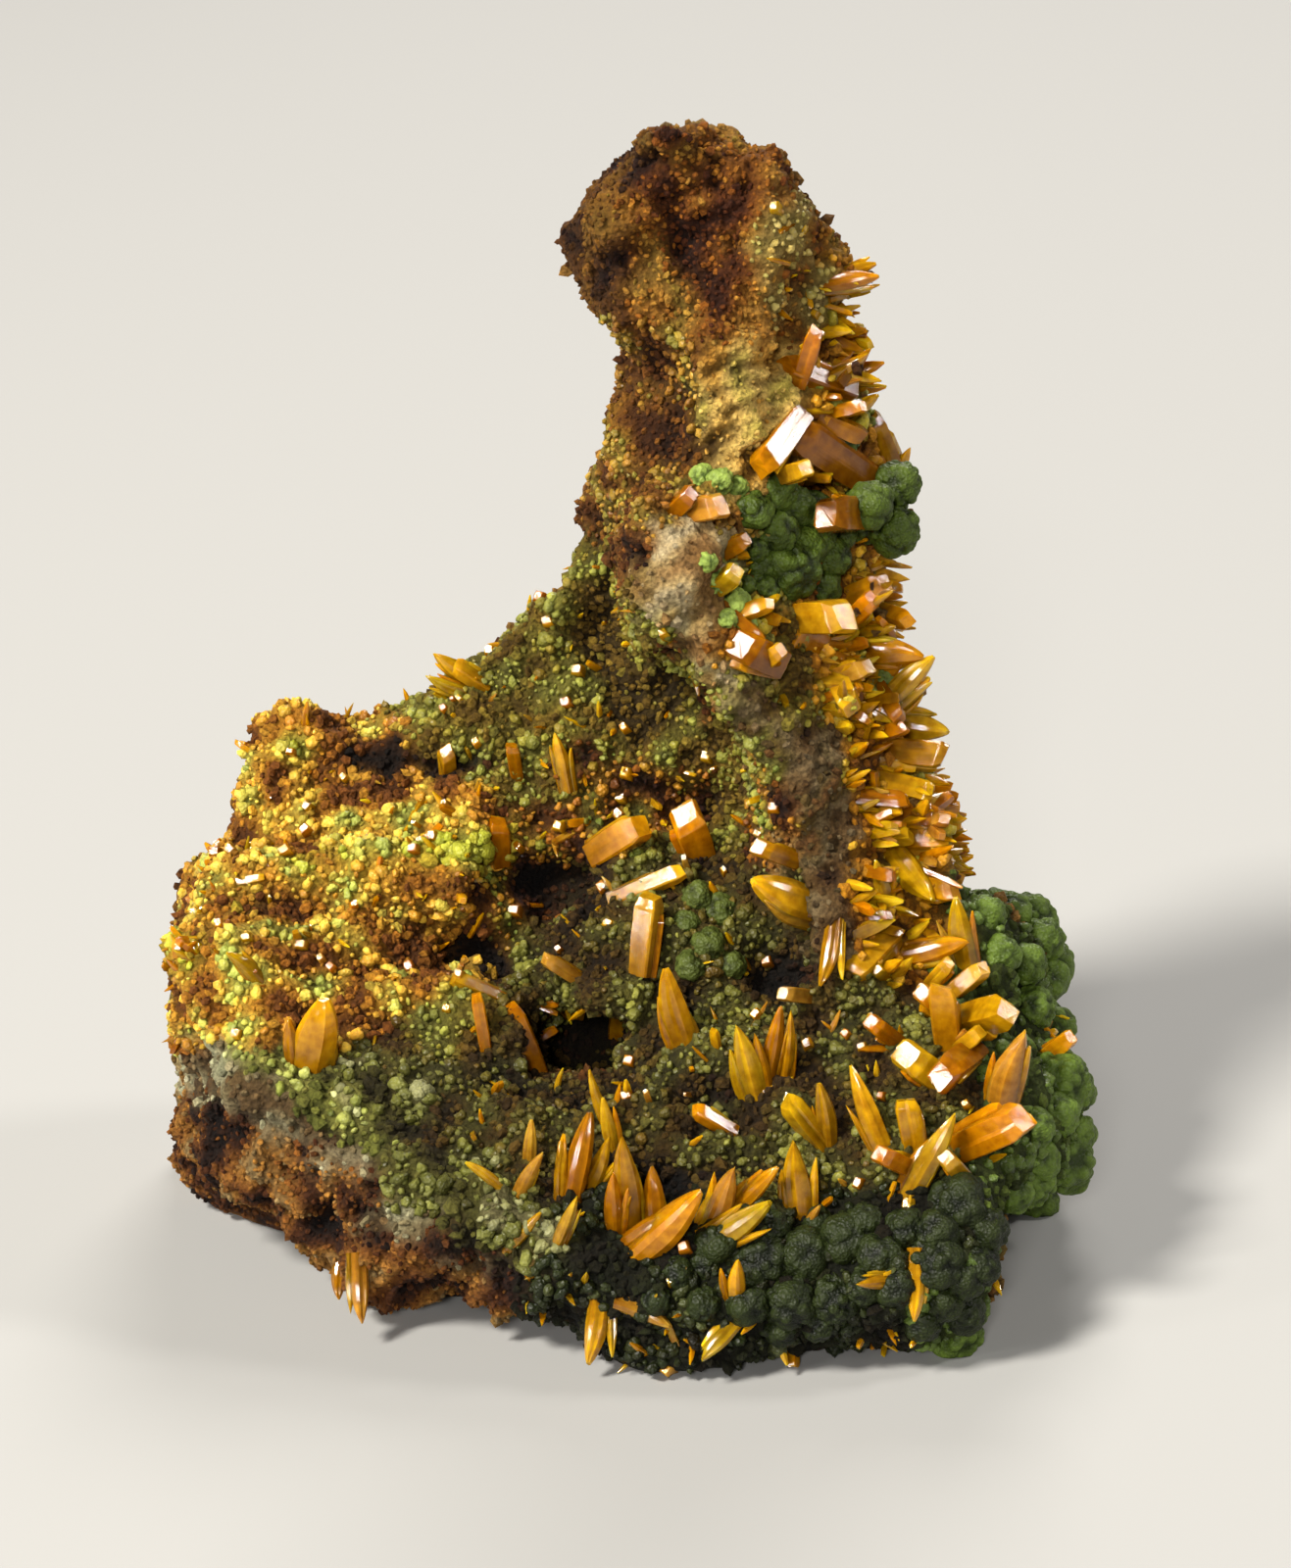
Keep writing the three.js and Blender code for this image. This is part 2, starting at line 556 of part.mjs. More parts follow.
// One piece for each crystal, or for each few that run into each other, which take the biggest one's group.
function wulfeniteCrystals(bed) {
  const crystals = Object.entries(WULFENITE).flatMap(([group, list]) =>
    list.map((entry) => ({ group, solid: crystal(entry) })),
  );
  const grown = wasm.Manifold.union(crystals.map(({ solid }) => solid)).subtract(bed);
  const counts = {};
  const pieces = grown.decompose().filter((solid) => solid.volume() > SMALLEST);
  return pieces.map((solid) => {
    const shares = crystals.map((one) => one.solid.intersect(solid).volume());
    const { group } = crystals[shares.indexOf(Math.max(...shares))];
    counts[group] = (counts[group] ?? 0) + 1;
    return pieceOf(`wulfenite_${group}_${counts[group]}`, solid, WULFENITE_FINISH);
  });
}

const specimen = new THREE.Group();
const flankCover = SMALL_WULFENITE.map((entry) => crystal(entry, SEAT_GAP));
const rockBed = wasm.Manifold.union([thickenedRock(), ground, ...flankCover]);
const ballCover = Object.values(MIMETITE).flatMap((list) => list.map((entry) => ball(entry, SEAT_GAP)));
specimen.add(limoniteMatrix());
specimen.add(...mimetiteLumps(rockBed));
specimen.add(...wulfeniteCrystals(wasm.Manifold.union([rockBed, ...ballCover])));

export default specimen;
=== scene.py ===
"""A hand-sized wulfenite specimen: honey-orange crystals and green mimetite on limonite."""

import math

import bmesh
import bpy
import numpy as np
from mathutils import Matrix, Vector, noise
from mathutils.bvhtree import BVHTree


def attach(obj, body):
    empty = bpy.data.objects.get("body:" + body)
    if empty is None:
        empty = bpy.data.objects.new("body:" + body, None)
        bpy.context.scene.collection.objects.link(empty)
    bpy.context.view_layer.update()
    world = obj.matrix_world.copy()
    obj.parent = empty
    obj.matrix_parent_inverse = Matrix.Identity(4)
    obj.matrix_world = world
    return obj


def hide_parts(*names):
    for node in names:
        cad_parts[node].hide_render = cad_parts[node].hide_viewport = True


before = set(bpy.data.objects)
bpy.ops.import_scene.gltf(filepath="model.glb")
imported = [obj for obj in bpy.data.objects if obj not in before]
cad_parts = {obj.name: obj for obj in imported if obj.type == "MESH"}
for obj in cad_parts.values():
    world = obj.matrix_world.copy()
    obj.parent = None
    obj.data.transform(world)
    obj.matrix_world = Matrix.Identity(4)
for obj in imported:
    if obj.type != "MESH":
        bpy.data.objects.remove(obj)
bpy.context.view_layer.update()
rng = np.random.default_rng(7)

MM = 0.001

# The display plane: places on the specimen's face are (u across, v up) in millimetres on a plane that
# leans back and passes through the axis. The eye looks square at it.
PLANE_HEIGHT = 0.055
LEAN = math.radians(20)
EYE_DISTANCE = 0.45
FRAME_HEIGHT = 1600
FOCAL_PIXELS = 4050
SENSOR = 36
SIN, COS = math.sin(LEAN), math.cos(LEAN)
EYE = Vector((0, -EYE_DISTANCE * COS, PLANE_HEIGHT + EYE_DISTANCE * SIN))


def on_plane(points):
    """(u, v) in millimetres of points in metres."""
    x, y, z = points.T
    z = z - PLANE_HEIGHT
    share = EYE_DISTANCE / (EYE_DISTANCE + COS * y - SIN * z)
    return np.column_stack((x * share, (SIN * y + COS * z) * share)) / MM


def at_depth(u, v, depth):
    """The point on the sight line through (u, v) that lies this deep along the eye's axis."""
    share = (EYE_DISTANCE + depth) / EYE_DISTANCE * MM
    up = v * share
    return Vector((u * share, SIN * up + COS * depth, PLANE_HEIGHT + COS * up - SIN * depth))


def depth_of(p):
    return COS * p.y - SIN * (p.z - PLANE_HEIGHT)


def linear(code):
    """Linear red, green and blue of an sRGB colour code."""
    srgb = np.array([code >> 16 & 255, code >> 8 & 255, code & 255]) / 255
    return np.where(srgb <= 0.04045, srgb / 12.92, ((srgb + 0.055) / 1.055) ** 2.4)


# ---- Where the crystals and balls are ----
BLADE, BLOCK = "blade", "block"

# A crystal: tip u, v, root u, v, how much nearer the eye the tip is, width, thickness and habit, then its
# turn about its own axis in degrees, which holds for its companions, and for itself where no side of it can
# catch a lamp. A ball: u, v, radius, and its depth y where it hangs past the rock's edge.
WULFENITE = {
    "front_fan": [
        (-7.1, -37.1, -8.4, -46.3, 0.5, 3, 1.7, BLADE, 20),
        (-3.5, -40.6, -6.7, -46.1, 3, 2.2, 1.3, BLADE, 30),
        (-2.8, -40.1, -1.8, -50, 4, 3.1, 1.9, BLADE, -20), (-3.3, -44.2, -3.5, -50.4, 5, 2.2, 1.3, BLADE),
        (0.5, -43.4, 0.9, -49.1, 0.5, 2.7, 1.6, BLADE, 10), (6.5, -46.6, -0.4, -52.8, 5, 3.9, 2.7, BLADE),
    ],
    "front_right": [
        (10.3, -43.8, 7.7, -49.6, 3, 3.1, 1.9, BLADE), (14.2, -47.8, 7.7, -51.7, 4, 3.1, 1.9, BLADE),
        (16.8, -40.6, 17.5, -48.4, 2, 3.3, 2, BLADE),
    ],
    "floor": [
        (-2.1, -18.4, -2.9, -27, 3, 3.1, 2.2, BLADE), (1.5, -21.2, 4.4, -29, 3, 3.3, 2.3, BLADE),
        (0.4, -12.7, -0.3, -19.8, 0.5, 2.7, 2.1, BLOCK), (9.9, -27.6, 12.4, -34.8, 3, 3.1, 1.9, BLADE),
        (20.5, -34, 20.7, -40.2, 3, 2.4, 1.7, BLADE), (22.4, -32.4, 26.8, -41.1, 0.5, 2.6, 1.8, BLADE),
    ],
    "back_floor": [
        (-0.5, -4.7, -4.5, -7.3, 3, 3.3, 2.7, BLOCK, 10), (4.6, -3.3, 5.9, -7.1, 3, 3.6, 2.5, BLOCK),
    ],
    "left_floor": [
        (-15.4, -25.1, -12.6, -32, 2, 2.4, 2, BLOCK, 10), (-37, -24.4, -37.8, -31, 3, 5, 3, BLADE),
    ],
    "right_group": [
        (41.1, -25.8, 36.2, -26.9, 8, 3.4, 3.3, BLOCK, 45), (33.5, -22.9, 34.2, -29.3, 3, 3, 2.4, BLOCK),
        (41.3, -28, 40.2, -36.3, 5, 3.7, 2.6, BLADE), (29.5, -30.6, 33.7, -33.7, 3, 3.4, 2.8, BLOCK),
        (33.5, -33.3, 36.6, -30.9, 7, 3.1, 2.8, BLOCK, 10),
    ],
    "right_low": [
        (29.6, -35.8, 30.5, -41.1, 1, 2.8, 1.9, BLOCK), (34.3, -37.1, 30.4, -45.3, 0.5, 2.8, 1.7, BLADE),
        (42.6, -37.8, 36.2, -40.8, 5, 3.9, 3.1, BLOCK, 10),
    ],
    "buttress_foot": [
        (12.3, -11.8, 18.2, -13.6, 5, 4.7, 2.8, BLADE), (23.5, -21.7, 26.8, -18.4, 3, 2.8, 2.2, BLOCK, 20),
    ],
    "flank_low": [
        (31.9, -13.8, 28.2, -8, 3, 3.8, 2.3, BLADE), (34.6, -13.1, 36.3, -20, 2, 3, 1.8, BLADE),
        (36.5, -18.2, 30.4, -19.3, 2, 2.9, 2, BLADE),
    ],
    "flank_middle": [
        (33.9, 3.1, 29.3, 3.6, 1, 3.1, 2.2, BLOCK), (34.3, 6.1, 29.3, 6.9, 1, 3.3, 2, BLADE),
        (32.4, 14.7, 27.9, 9.7, 1, 2.9, 1.7, BLADE),
    ],
    "flank_high": [
        (31.5, 15.4, 25.1, 15.1, 2, 3.4, 2.1, BLADE), (22.7, 19.1, 18.2, 18.9, 4, 4, 3.2, BLOCK),
        (15.6, 17.8, 18.4, 16.4, 3, 3.4, 2.8, BLOCK), (10.6, 15.8, 13.6, 14.4, 3, 3.8, 3, BLOCK),
    ],
    "tower_front": [(20.4, 30.3, 26, 30.6, 13, 3.8, 3, BLOCK)],
    "tower": [
        (12.9, 35.8, 16.6, 40.7, 5, 3, 2.2, BLOCK), (16, 40.4, 25.4, 34.2, 10, 4, 2.9, BLOCK),
        (25.1, 41.3, 27.2, 36.2, 3, 3.7, 2.9, BLOCK),
    ],
    "tower_upper": [(15.8, 47.4, 21.9, 45.1, 4, 2.6, 2, BLOCK)],
    "underside": [
        (-5.8, -65.8, -5.2, -59.3, 1, 2.7, 1.9, BLADE), (-32.3, -61.1, -32.5, -55.2, 1, 2.2, 1.6, BLADE),
        (30.5, -60.9, 30.6, -54.7, 1, 2.2, 1.7, BLADE),
    ],
}

FLANK_WULFENITE = [
    (12.7, -7.2, 16.6, -8.6, 3, 2.1, 1.7, BLOCK), (20.8, -22.9, 21.3, -17.2, 2, 2.2, 1.6, BLADE),
    (35.1, -12.1, 32.2, -11.7, 2, 2.6, 1.8, BLOCK), (34.4, -9.6, 30.2, -7.6, 1, 2.6, 1.8, BLOCK),
    (34.4, -6.2, 30.2, -6.4, 1, 2.4, 1.7, BLOCK), (33.7, -3.8, 29.3, -3.3, 1, 2.7, 1.9, BLOCK),
    (32.4, -1, 28.2, 0.1, 1, 2.4, 1.7, BLOCK), (28.9, 7.2, 27.2, 10, 3, 1.9, 1.5, BLOCK),
    (32.3, 11.8, 29.3, 9.3, 1, 2.2, 1.6, BLADE), (23.4, 8.6, 21.8, 12, 3, 2.6, 2, BLOCK),
    (25.3, 13.3, 22.1, 12.3, 3, 2.2, 1.8, BLOCK), (28.3, 17.8, 24.5, 17.3, 2, 1.9, 1.5, BLADE),
    (28.1, 19.7, 25.5, 18.4, 1, 1.6, 1.2, BLOCK), (27.1, 22.8, 23.8, 21.4, 2, 2.7, 1.9, BLOCK),
    (25.7, 21, 23.4, 18.7, 3, 2.3, 1.9, BLOCK), (15.4, 15.2, 13.5, 13.8, 3, 1.9, 1.5, BLOCK),
    (18.2, 35.8, 15.6, 35, 6, 2, 1.6, BLOCK), (30.2, 37.8, 28.8, 34.2, 2, 1.8, 1.4, BLADE),
    (19.3, 51.3, 17.9, 46.9, 3, 1.9, 1.5, BLOCK), (25.4, 47.7, 20.8, 46.1, 2, 2.1, 1.5, BLADE),
    (24.2, 51.7, 23.6, 48, 2, 1.9, 1.5, BLOCK), (17.6, 42.7, 22.6, 42.6, 3, 2, 1.6, BLOCK),
    (26.1, 44.3, 23.3, 42, 1, 1.9, 1.5, BLADE), (26.4, 57.7, 22.2, 56.9, 1, 2.2, 1.8, BLADE),
]

LESSER_WULFENITE = [
    (-4.4, -35.6, -3.7, -40.8, 2, 1.8, 1.1, BLADE), (-7.2, -32.8, -4.3, -38.9, 2, 1.4, 1, BLADE),
    (-7.5, -46.9, -9.7, -51.6, 3, 1.7, 1.2, BLADE), (14.7, -43.3, 10.3, -47.9, 2, 2.4, 1.5, BLADE, 20),
    (19.1, -47.6, 18.2, -50.6, 2, 1.4, 1, BLADE), (9.6, -54.2, 10.3, -58, 3, 2.2, 1.6, BLADE),
    (-11.8, -48.7, -14.7, -51.8, 2, 1.4, 1, BLADE), (-20.1, -42.2, -16.8, -45.3, 2, 1.4, 1, BLADE),
    (-12.1, -41.6, -14.3, -46.4, 3, 1.9, 1.1, BLADE), (-12.6, -38.1, -13.2, -42.7, 2, 1.6, 1.1, BLADE),
    (4.3, -10, -2.3, -12.6, 2, 1.9, 1.5, BLOCK, 30), (14.8, -25.3, 13.9, -33, 3, 2.1, 1.5, BLADE),
    (16.4, -25.8, 15.7, -33.3, 3, 1.9, 1.3, BLADE), (16.1, -36, 19.1, -39.7, 2, 2.4, 2, BLOCK, 20),
    (5.6, -36.9, 8.5, -38.6, 1, 1.7, 1.3, BLOCK), (-16.7, -4.2, -16.5, -7.4, 2, 2.4, 2, BLOCK, 10),
    (-10.3, 5.8, -9.2, 0.9, 2, 2, 1.4, BLADE), (-22.6, 3.8, -22.4, 1.6, 2, 1.8, 1.6, BLOCK, 20),
    (-15.2, 4.4, -14.7, 1.8, 2, 1.6, 1.4, BLOCK), (-21.8, -22, -16.6, -24.2, 2, 1.7, 1.3, BLOCK),
    (-18.2, -23.6, -8.9, -25.7, 2, 1.8, 1.4, BLOCK), (-19.2, -23.8, -18.1, -30, 2, 1.4, 1.2, BLOCK),
    (-11.4, -19.8, -8.4, -21.7, 2, 1.7, 1.3, BLOCK), (-46.9, -18.7, -44.3, -21.6, 2, 2.1, 1.5, BLADE),
    (37.9, -28, 35.5, -30, 3, 1.9, 1.5, BLOCK), (38.4, -20.9, 35.1, -23.6, 2, 2.1, 1.7, BLOCK),
    (34.4, -20.2, 32.4, -22.4, 2, 1.7, 1.3, BLOCK), (31.3, -23.6, 33.8, -25.8, 2, 2.1, 1.7, BLOCK),
    (48.2, -28.7, 45.3, -30.9, 3, 2, 1.6, BLOCK), (26.5, -41.9, 29.7, -43.4, 4, 2.1, 1.7, BLOCK),
    (34.1, -42.3, 36.1, -44.7, 3, 2, 1.6, BLOCK), (25.5, -27, 28.1, -28.9, 3, 1.9, 1.5, BLOCK),
    (15.5, -23.8, 18.3, -24.1, 3, 1.7, 1.3, BLOCK), (26.5, -8.7, 27.2, -12.9, 3, 2, 1.4, BLADE),
    (8.6, 31.6, 5.6, 31, 3, 2.8, 2.2, BLOCK), (5.2, 33, 3.6, 31.4, 2, 2, 1.6, BLOCK, 10),
    (11.4, 27.8, 9.4, 26.6, 2, 1.9, 1.5, BLOCK), (10.4, 24.2, 8.4, 22.6, 2, 2.1, 1.6, BLOCK, 20),
    (-24.2, 14.2, -20.6, 12.4, 1, 2.2, 1.6, BLADE, 10), (-21.6, 13.4, -19.4, 12, 1, 2, 1.5, BLOCK, 30),
    (-25, 11.6, -21.2, 10.6, 1, 1.8, 1.3, BLADE), (3.1, -60.6, -1.4, -59.2, 1, 2.2, 1.6, BLADE),
    (6.2, -65.2, 9.4, -61.8, 1, 2.2, 1.6, BLADE), (-35.2, -58.4, -34.7, -55.2, 1, 1.8, 1.4, BLADE),
    (24, -56.4, 27.6, -56.2, 2, 1.7, 1.3, BLADE),
]

MIMETITE = {
    "tower_cluster": [
        (14.3, 33.3, 3.1), (18.6, 30.4, 3.1), (14.5, 28.6, 3.1), (16.3, 24.4, 4.1), (20.8, 25.8, 2.8),
    ],
    "tower_right": [(28.5, 33.9, 3, 18), (28.2, 28.8, 3.2, 16), (25.5, 31.6, 3, 13)],
    "back_right_lobes": [
        (39.1, -15.3, 4, 14), (43.5, -15.3, 3.4, 17), (44.8, -20.6, 4.2, 12), (41.1, -20.6, 4, 8),
    ],
    "right_lobes": [
        (46.8, -34, 4.1, -8), (45.3, -38, 3.3, -11), (47.1, -42.3, 4.1, -10), (43.5, -44.9, 3.3, -17),
    ],
    "front_right_lobes": [
        (35.4, -48, 4.1), (39.1, -46.6, 3.1, -19), (32.9, -54.3, 3.6), (36.5, -52.2, 3.3, -25),
    ],
    "lower_right_lobe": [(34.8, -61.8, 3.7, -31)],
    "front_rim": [
        (8.5, -52, 3.2), (12.9, -54.1, 3.7), (17.9, -53.6, 3.7), (22.6, -51.6, 3.2), (16.4, -58.7, 3.2),
        (21.3, -58.4, 3),
    ],
}

LESSER_MIMETITE = {
    "tower_cluster": [
        (15.2, 32.1, 2), (11.4, 22.4, 1.3), (12.4, 26.7, 2), (17.9, 27.2, 2.7), (22.7, 38.7, 1.7),
        (12.4, 31, 2.4), (16.6, 31.4, 2.8), (19, 27.6, 2.8), (12.8, 24.8, 2.6), (13.4, 22.2, 2.2),
        (19.8, 22.4, 2.6), (22, 28.4, 2.2),
    ],
    "ridge_beads": [
        (6.4, 34.8, 1.6), (8.4, 34.4, 1.7), (10.4, 33.6, 1.5), (8, 23, 1.7), (10, 20.4, 2.1),
        (11.2, 17.9, 1.7), (9.2, 18.6, 1.4), (6.9, 25.2, 1.3),
    ],
    "tower_right": [(27, 31.2, 3, 19), (25, 29.6, 2.6, 17), (24.2, 31.8, 2.2, 16)],
    "right_rim": [
        (38.6, -15, 2.6), (42, -14.6, 2.6), (45, -17.6, 2.8), (46.6, -22, 2.8), (43, -20.4, 2.8),
        (40.2, -19.4, 2.6), (44, -25.4, 2.8), (46.6, -27.4, 2.6), (46, -31.4, 2.8), (49, -35, 2.8),
        (50, -39.6, 2.8), (46.6, -37.6, 2.8), (48.6, -44, 2.8), (44.4, -42.6, 2.8), (44.2, -39, 2.4),
        (41.6, -46.4, 2.6), (45.6, -47.4, 2.6),
    ],
    "front_right": [
        (38.5, -50.5, 2.8), (36, -56, 2.8), (33.5, -58.5, 2.8), (37.8, -54.6, 2.6), (33, -50.8, 2.6),
        (31.4, -61, 2.4), (36, -60, 2.6),
    ],
    "flank_knob": [(26.9, 11.8, 1.9)],
    "floor_patch": [
        (5.9, -12.8, 2), (8.5, -14.4, 2.2), (4.6, -16.1, 2), (7.1, -18.3, 2.2), (9.6, -20.6, 2),
        (5.2, -20.6, 2),
    ],
    "front_rim": [
        (6.8, -54.4, 2.2), (24.8, -49.8, 2.4), (11.5, -58.9, 2.7), (19.6, -61.1, 2.2), (26.5, -53.5, 2.8),
        (29.5, -50.5, 2.6), (28.5, -57, 2.6), (24.8, -57, 2.4), (14.5, -50.2, 2), (19.5, -49.8, 2.2),
        (3.6, -55.4, 2), (6.6, -59, 2.2), (1.2, -58.6, 1.8), (15.4, -62, 2),
    ],
}

# ---- Zones of the rock's face ----
# Each zone covers soft spots (u, v, half width, half height) in mm. Next comes the share of the palette's
# brightness that the rock keeps between the grains, a painted shade in the gaps; then come the grains'
# spacing and radii in mm, and how deep the pores are.
ZONES = {
    "shelf": dict(
        spots=[(-40, 1, 14, 9), (-44, -11, 14, 9), (-36, -12, 18, 9), (-46, -22, 13, 8), (-28, -18, 14, 8),
               (-33, -6, 18, 11), (-26, -4, 11, 6), (-48, -8, 12, 18)],
        palette=(0x74461A, 0xA46C20, 0xBE8828, 0xCC9E36, 0xC6AA40, 0xB4A846, 0x9EA44A),
        painted_gap_shade=0.7, spacing=0.78, radii=(0.3, 0.8), pores=0.8),
    "lime": dict(
        spots=[(-36, -9, 11, 2.5), (-25, -8, 9, 3), (-53, -19, 5, 5), (-40, 4, 4, 2), (-47, -13, 5, 2),
               (-16, -5, 4, 3)],
        palette=(0xAC8A2C, 0xB0982C, 0xB0A232, 0xA29E2E, 0x92962C, 0xAEAC3C),
        painted_gap_shade=0.65, spacing=0.82, radii=(0.45, 1.0), pores=0.5),
    "wall": dict(
        spots=[(-10, 10, 16, 10), (-3, 17, 12, 9), (2, 9, 13, 11), (-20, 6, 8, 5), (10, 2, 6, 8),
               (-13, 3, 9, 5), (-21, -26, 6, 5)],
        palette=(0x5E4A16, 0x786422, 0x786C26, 0x78722A, 0x767430, 0x88883A, 0x6C6C32),
        painted_gap_shade=0.7, spacing=0.75, radii=(0.3, 0.7), pores=0.8),
    "band": dict(
        spots=[(-6, 2, 15, 3), (5, 0, 10, 4), (-12, -5, 9, 4), (-15, -14, 9, 3.5), (11, 3.5, 6, 3),
               (-2, -6, 8, 3), (14, -4, 4, 5)],
        palette=(0x2A140A, 0x56300E, 0x845018, 0xA0701E, 0x857224, 0x68702A),
        painted_gap_shade=0.45, spacing=0.8, radii=(0.3, 0.65), pores=1.0),
    "floor": dict(
        spots=[(-6, -18, 13, 8), (5, -22, 13, 11), (-6, -33, 22, 11), (16, -39, 17, 11), (-20, -39, 14, 7),
               (22, -30, 10, 9), (30, -38, 10, 8), (12, -14, 8, 6), (2, -11, 10, 5)],
        palette=(0x3A2A0E, 0x554216, 0x54481A, 0x524C1F, 0x5C5A26, 0x4A4820, 0x747230),
        painted_gap_shade=0.55, spacing=0.8, radii=(0.3, 0.75), pores=0.9),
    "rim": dict(
        spots=[(4, -52, 20, 7), (22, -50, 13, 7), (33, -48, 8, 8), (20, -60, 14, 7), (2, -61, 10, 5)],
        palette=(0x161204, 0x1A1C08, 0x20230C, 0x181E0A, 0x282C12, 0x404424),
        painted_gap_shade=0.45, spacing=0.95, radii=(0.4, 1.0), pores=0.5),
    "left_green": dict(
        spots=[(-27, -37, 8, 5), (-22, -44, 10, 5), (-14, -51, 8, 4), (-33, -33, 5, 3)],
        palette=(0x2E2A10, 0x46441A, 0x585824, 0x6C6C34, 0x505020, 0x828058),
        painted_gap_shade=0.6, spacing=0.85, radii=(0.35, 0.95), pores=0.7),
    "lobes": dict(
        spots=[(41, -18, 9, 10), (46, -36, 8, 9), (40, -45, 7, 9), (35, -58, 7, 8)],
        palette=(0x364218, 0x46561F, 0x586A2C, 0x3C4A1C),
        painted_gap_shade=0.5, spacing=1.4, radii=(0.5, 1.0), pores=0.3),
    "broken": dict(
        spots=[(-47, -42, 9, 9), (-42, -50, 9, 7), (-30, -54, 11, 5), (-38, -45, 9, 6), (-22, -55, 9, 4),
               (-1.8, 24, 1.8, 7), (3, 15, 2, 4), (7.6, 9, 1.8, 3), (11.4, 3.5, 1.8, 3), (15.8, -7, 2, 6)],
        palette=(0x221006, 0x542E10, 0x845420, 0xAA7A36, 0x927C52),
        painted_gap_shade=0.75, spacing=0.75, radii=(0.25, 0.5), pores=2.2),
    "pale_break": dict(
        spots=[(-48, -33, 5, 4), (-42, -38, 6, 3), (-35, -43, 5.5, 3), (-28, -49, 5, 2.6), (-21, -54.5, 5, 2),
               (-45, -36, 5, 3)],
        palette=(0x6A5638, 0x8C8464, 0xB4B494, 0xA4AA8C, 0xD6D6B8),
        painted_gap_shade=0.75, spacing=1.2, radii=(0.3, 0.7), pores=0.8),
    "mint": dict(
        spots=[(-44, -31.5, 5, 2.5), (-38, -34, 5, 3), (-33, -37, 4, 4), (-30, -41, 3, 3)],
        palette=(0x525822, 0x6C7230, 0x868A40, 0x9C9E52, 0x767A34, 0xB0B078),
        painted_gap_shade=0.7, spacing=0.95, radii=(0.4, 0.85), pores=0.7),
    "head": dict(
        spots=[(4, 64, 13, 13), (10, 70, 9, 7), (3, 55, 8, 6)],
        palette=(0x4A240A, 0x74400F, 0x925A18, 0xAE7828, 0xB88A38, 0x967C2E),
        painted_gap_shade=0.6, spacing=0.66, radii=(0.25, 0.5), pores=1.6),
    "head_left": dict(
        spots=[(-5, 62, 6, 10), (-3, 56, 5, 6), (-1, 70, 5, 5)],
        palette=(0x28120A, 0x442A0C, 0x5C3A12, 0x74501A, 0x7C5A22),
        painted_gap_shade=0.55, spacing=0.66, radii=(0.25, 0.5), pores=1.8),
    "pale_head": dict(
        spots=[(15.5, 62, 4, 8), (18, 54, 3, 5)],
        palette=(0x845018, 0xA07830, 0xA89250, 0x9C8E4A, 0xBAA468),
        painted_gap_shade=0.6, spacing=0.8, radii=(0.25, 0.55), pores=1.0),
    "neck_shade": dict(
        spots=[(1, 43, 6, 10), (-1, 50, 6, 5), (0, 33, 8, 5)],
        palette=(0x54300F, 0x7A4E18, 0x966E24, 0x7E722A, 0xAE8632),
        painted_gap_shade=0.7, spacing=0.75, radii=(0.3, 0.6), pores=1.1),
    "fibrous": dict(
        spots=[(10, 42, 4.5, 7), (13, 36, 4, 4), (14, 47, 4, 3)],
        palette=(0xAE7E2C, 0xC89E48, 0xDCBE6C, 0xC2B456),
        painted_gap_shade=0.85, spacing=1.0, radii=(0.2, 0.45), pores=0.9),
    "grey_break": dict(
        spots=[(2.5, 28, 4, 5), (3.5, 22, 5, 6), (6, 16.5, 4, 5), (8.5, 12.5, 2.6, 3)],
        palette=(0x7A5C34, 0x94764C, 0xA89468, 0xC4B898, 0xA89C7C, 0xA88650),
        painted_gap_shade=1.0, spacing=1.4, radii=(0.3, 0.65), pores=1.4),
    "ridge_foot": dict(
        spots=[(11.5, 9, 2.6, 3), (14.5, 5, 3, 3.4), (18.5, 1, 4, 5), (20.5, -5, 4, 7), (21, -15, 3, 5)],
        palette=(0x301E0C, 0x4C361A, 0x604C2E, 0x786A4E, 0x4E4222, 0x5C401E),
        painted_gap_shade=0.9, spacing=1.2, radii=(0.3, 0.65), pores=1.6),
    "flank": dict(
        spots=[(24, 30, 4, 12), (24, 46, 4, 10), (24, 15, 4, 10), (26, 3, 4, 9), (29, -9, 5, 9),
               (31, -18, 6, 6), (10, 17, 4, 4)],
        palette=(0x86540E, 0xAC7616, 0xC48C20, 0xAC962A, 0x787A2C),
        painted_gap_shade=0.6, spacing=1.1, radii=(0.4, 0.9), pores=0.5),
    # Painted shade: a near-black palette laid into the hollows of the face, where shade falls.
    "dark": dict(
        spots=[(-6.5, -29.5, 6, 4.5), (-6.5, -32.5, 4.6, 3), (-10.5, -12.5, 4, 2.6), (-18, -19.5, 5, 1.8),
               (14.5, -21, 4, 3), (26, 2, 2.5, 2.5), (4, -44, 6, 1.5), (-31, 3, 4, 2.6), (-22, 2.5, 7, 1.6),
               (10, -34, 6, 1.5), (-14, -33, 5, 2.5)],
        palette=(0x120A04, 0x24160A, 0x3C220C, 0x2A2814),
        painted_gap_shade=0.7, spacing=0.95, radii=(0.3, 0.6), pores=2.0),
}
BACK_ZONE = dict(
    palette=(0x5C3814, 0x70481E, 0x88622C, 0x9A7636, 0x8C6A32, 0x7E683A),
    painted_gap_shade=0.85, spacing=1.7, radii=(0.4, 0.9), pores=1.4)
ALL_ZONES = [*ZONES.values(), BACK_ZONE]
ZONE_INDEX = {name: i for i, name in enumerate(ZONES)}
PALETTE_STEPS = 13
# Noise sizes and how far in mm they shift the zones' edges, then the cosine to the eye below which the back
# zone sets in, and over how much of it.
ZONE_WARPS = ((6 * MM, 2.2), (1.8 * MM, 1.3))
BACK_FROM, BACK_OVER = 0.1, 0.35


def palette_row(zone):
    colours = np.array([linear(code) for code in zone["palette"]])
    steps = np.linspace(0, len(colours) - 1, PALETTE_STEPS)
    return np.column_stack([np.interp(steps, range(len(colours)), channel) for channel in colours.T])


PALETTES = np.array([palette_row(zone) for zone in ALL_ZONES])

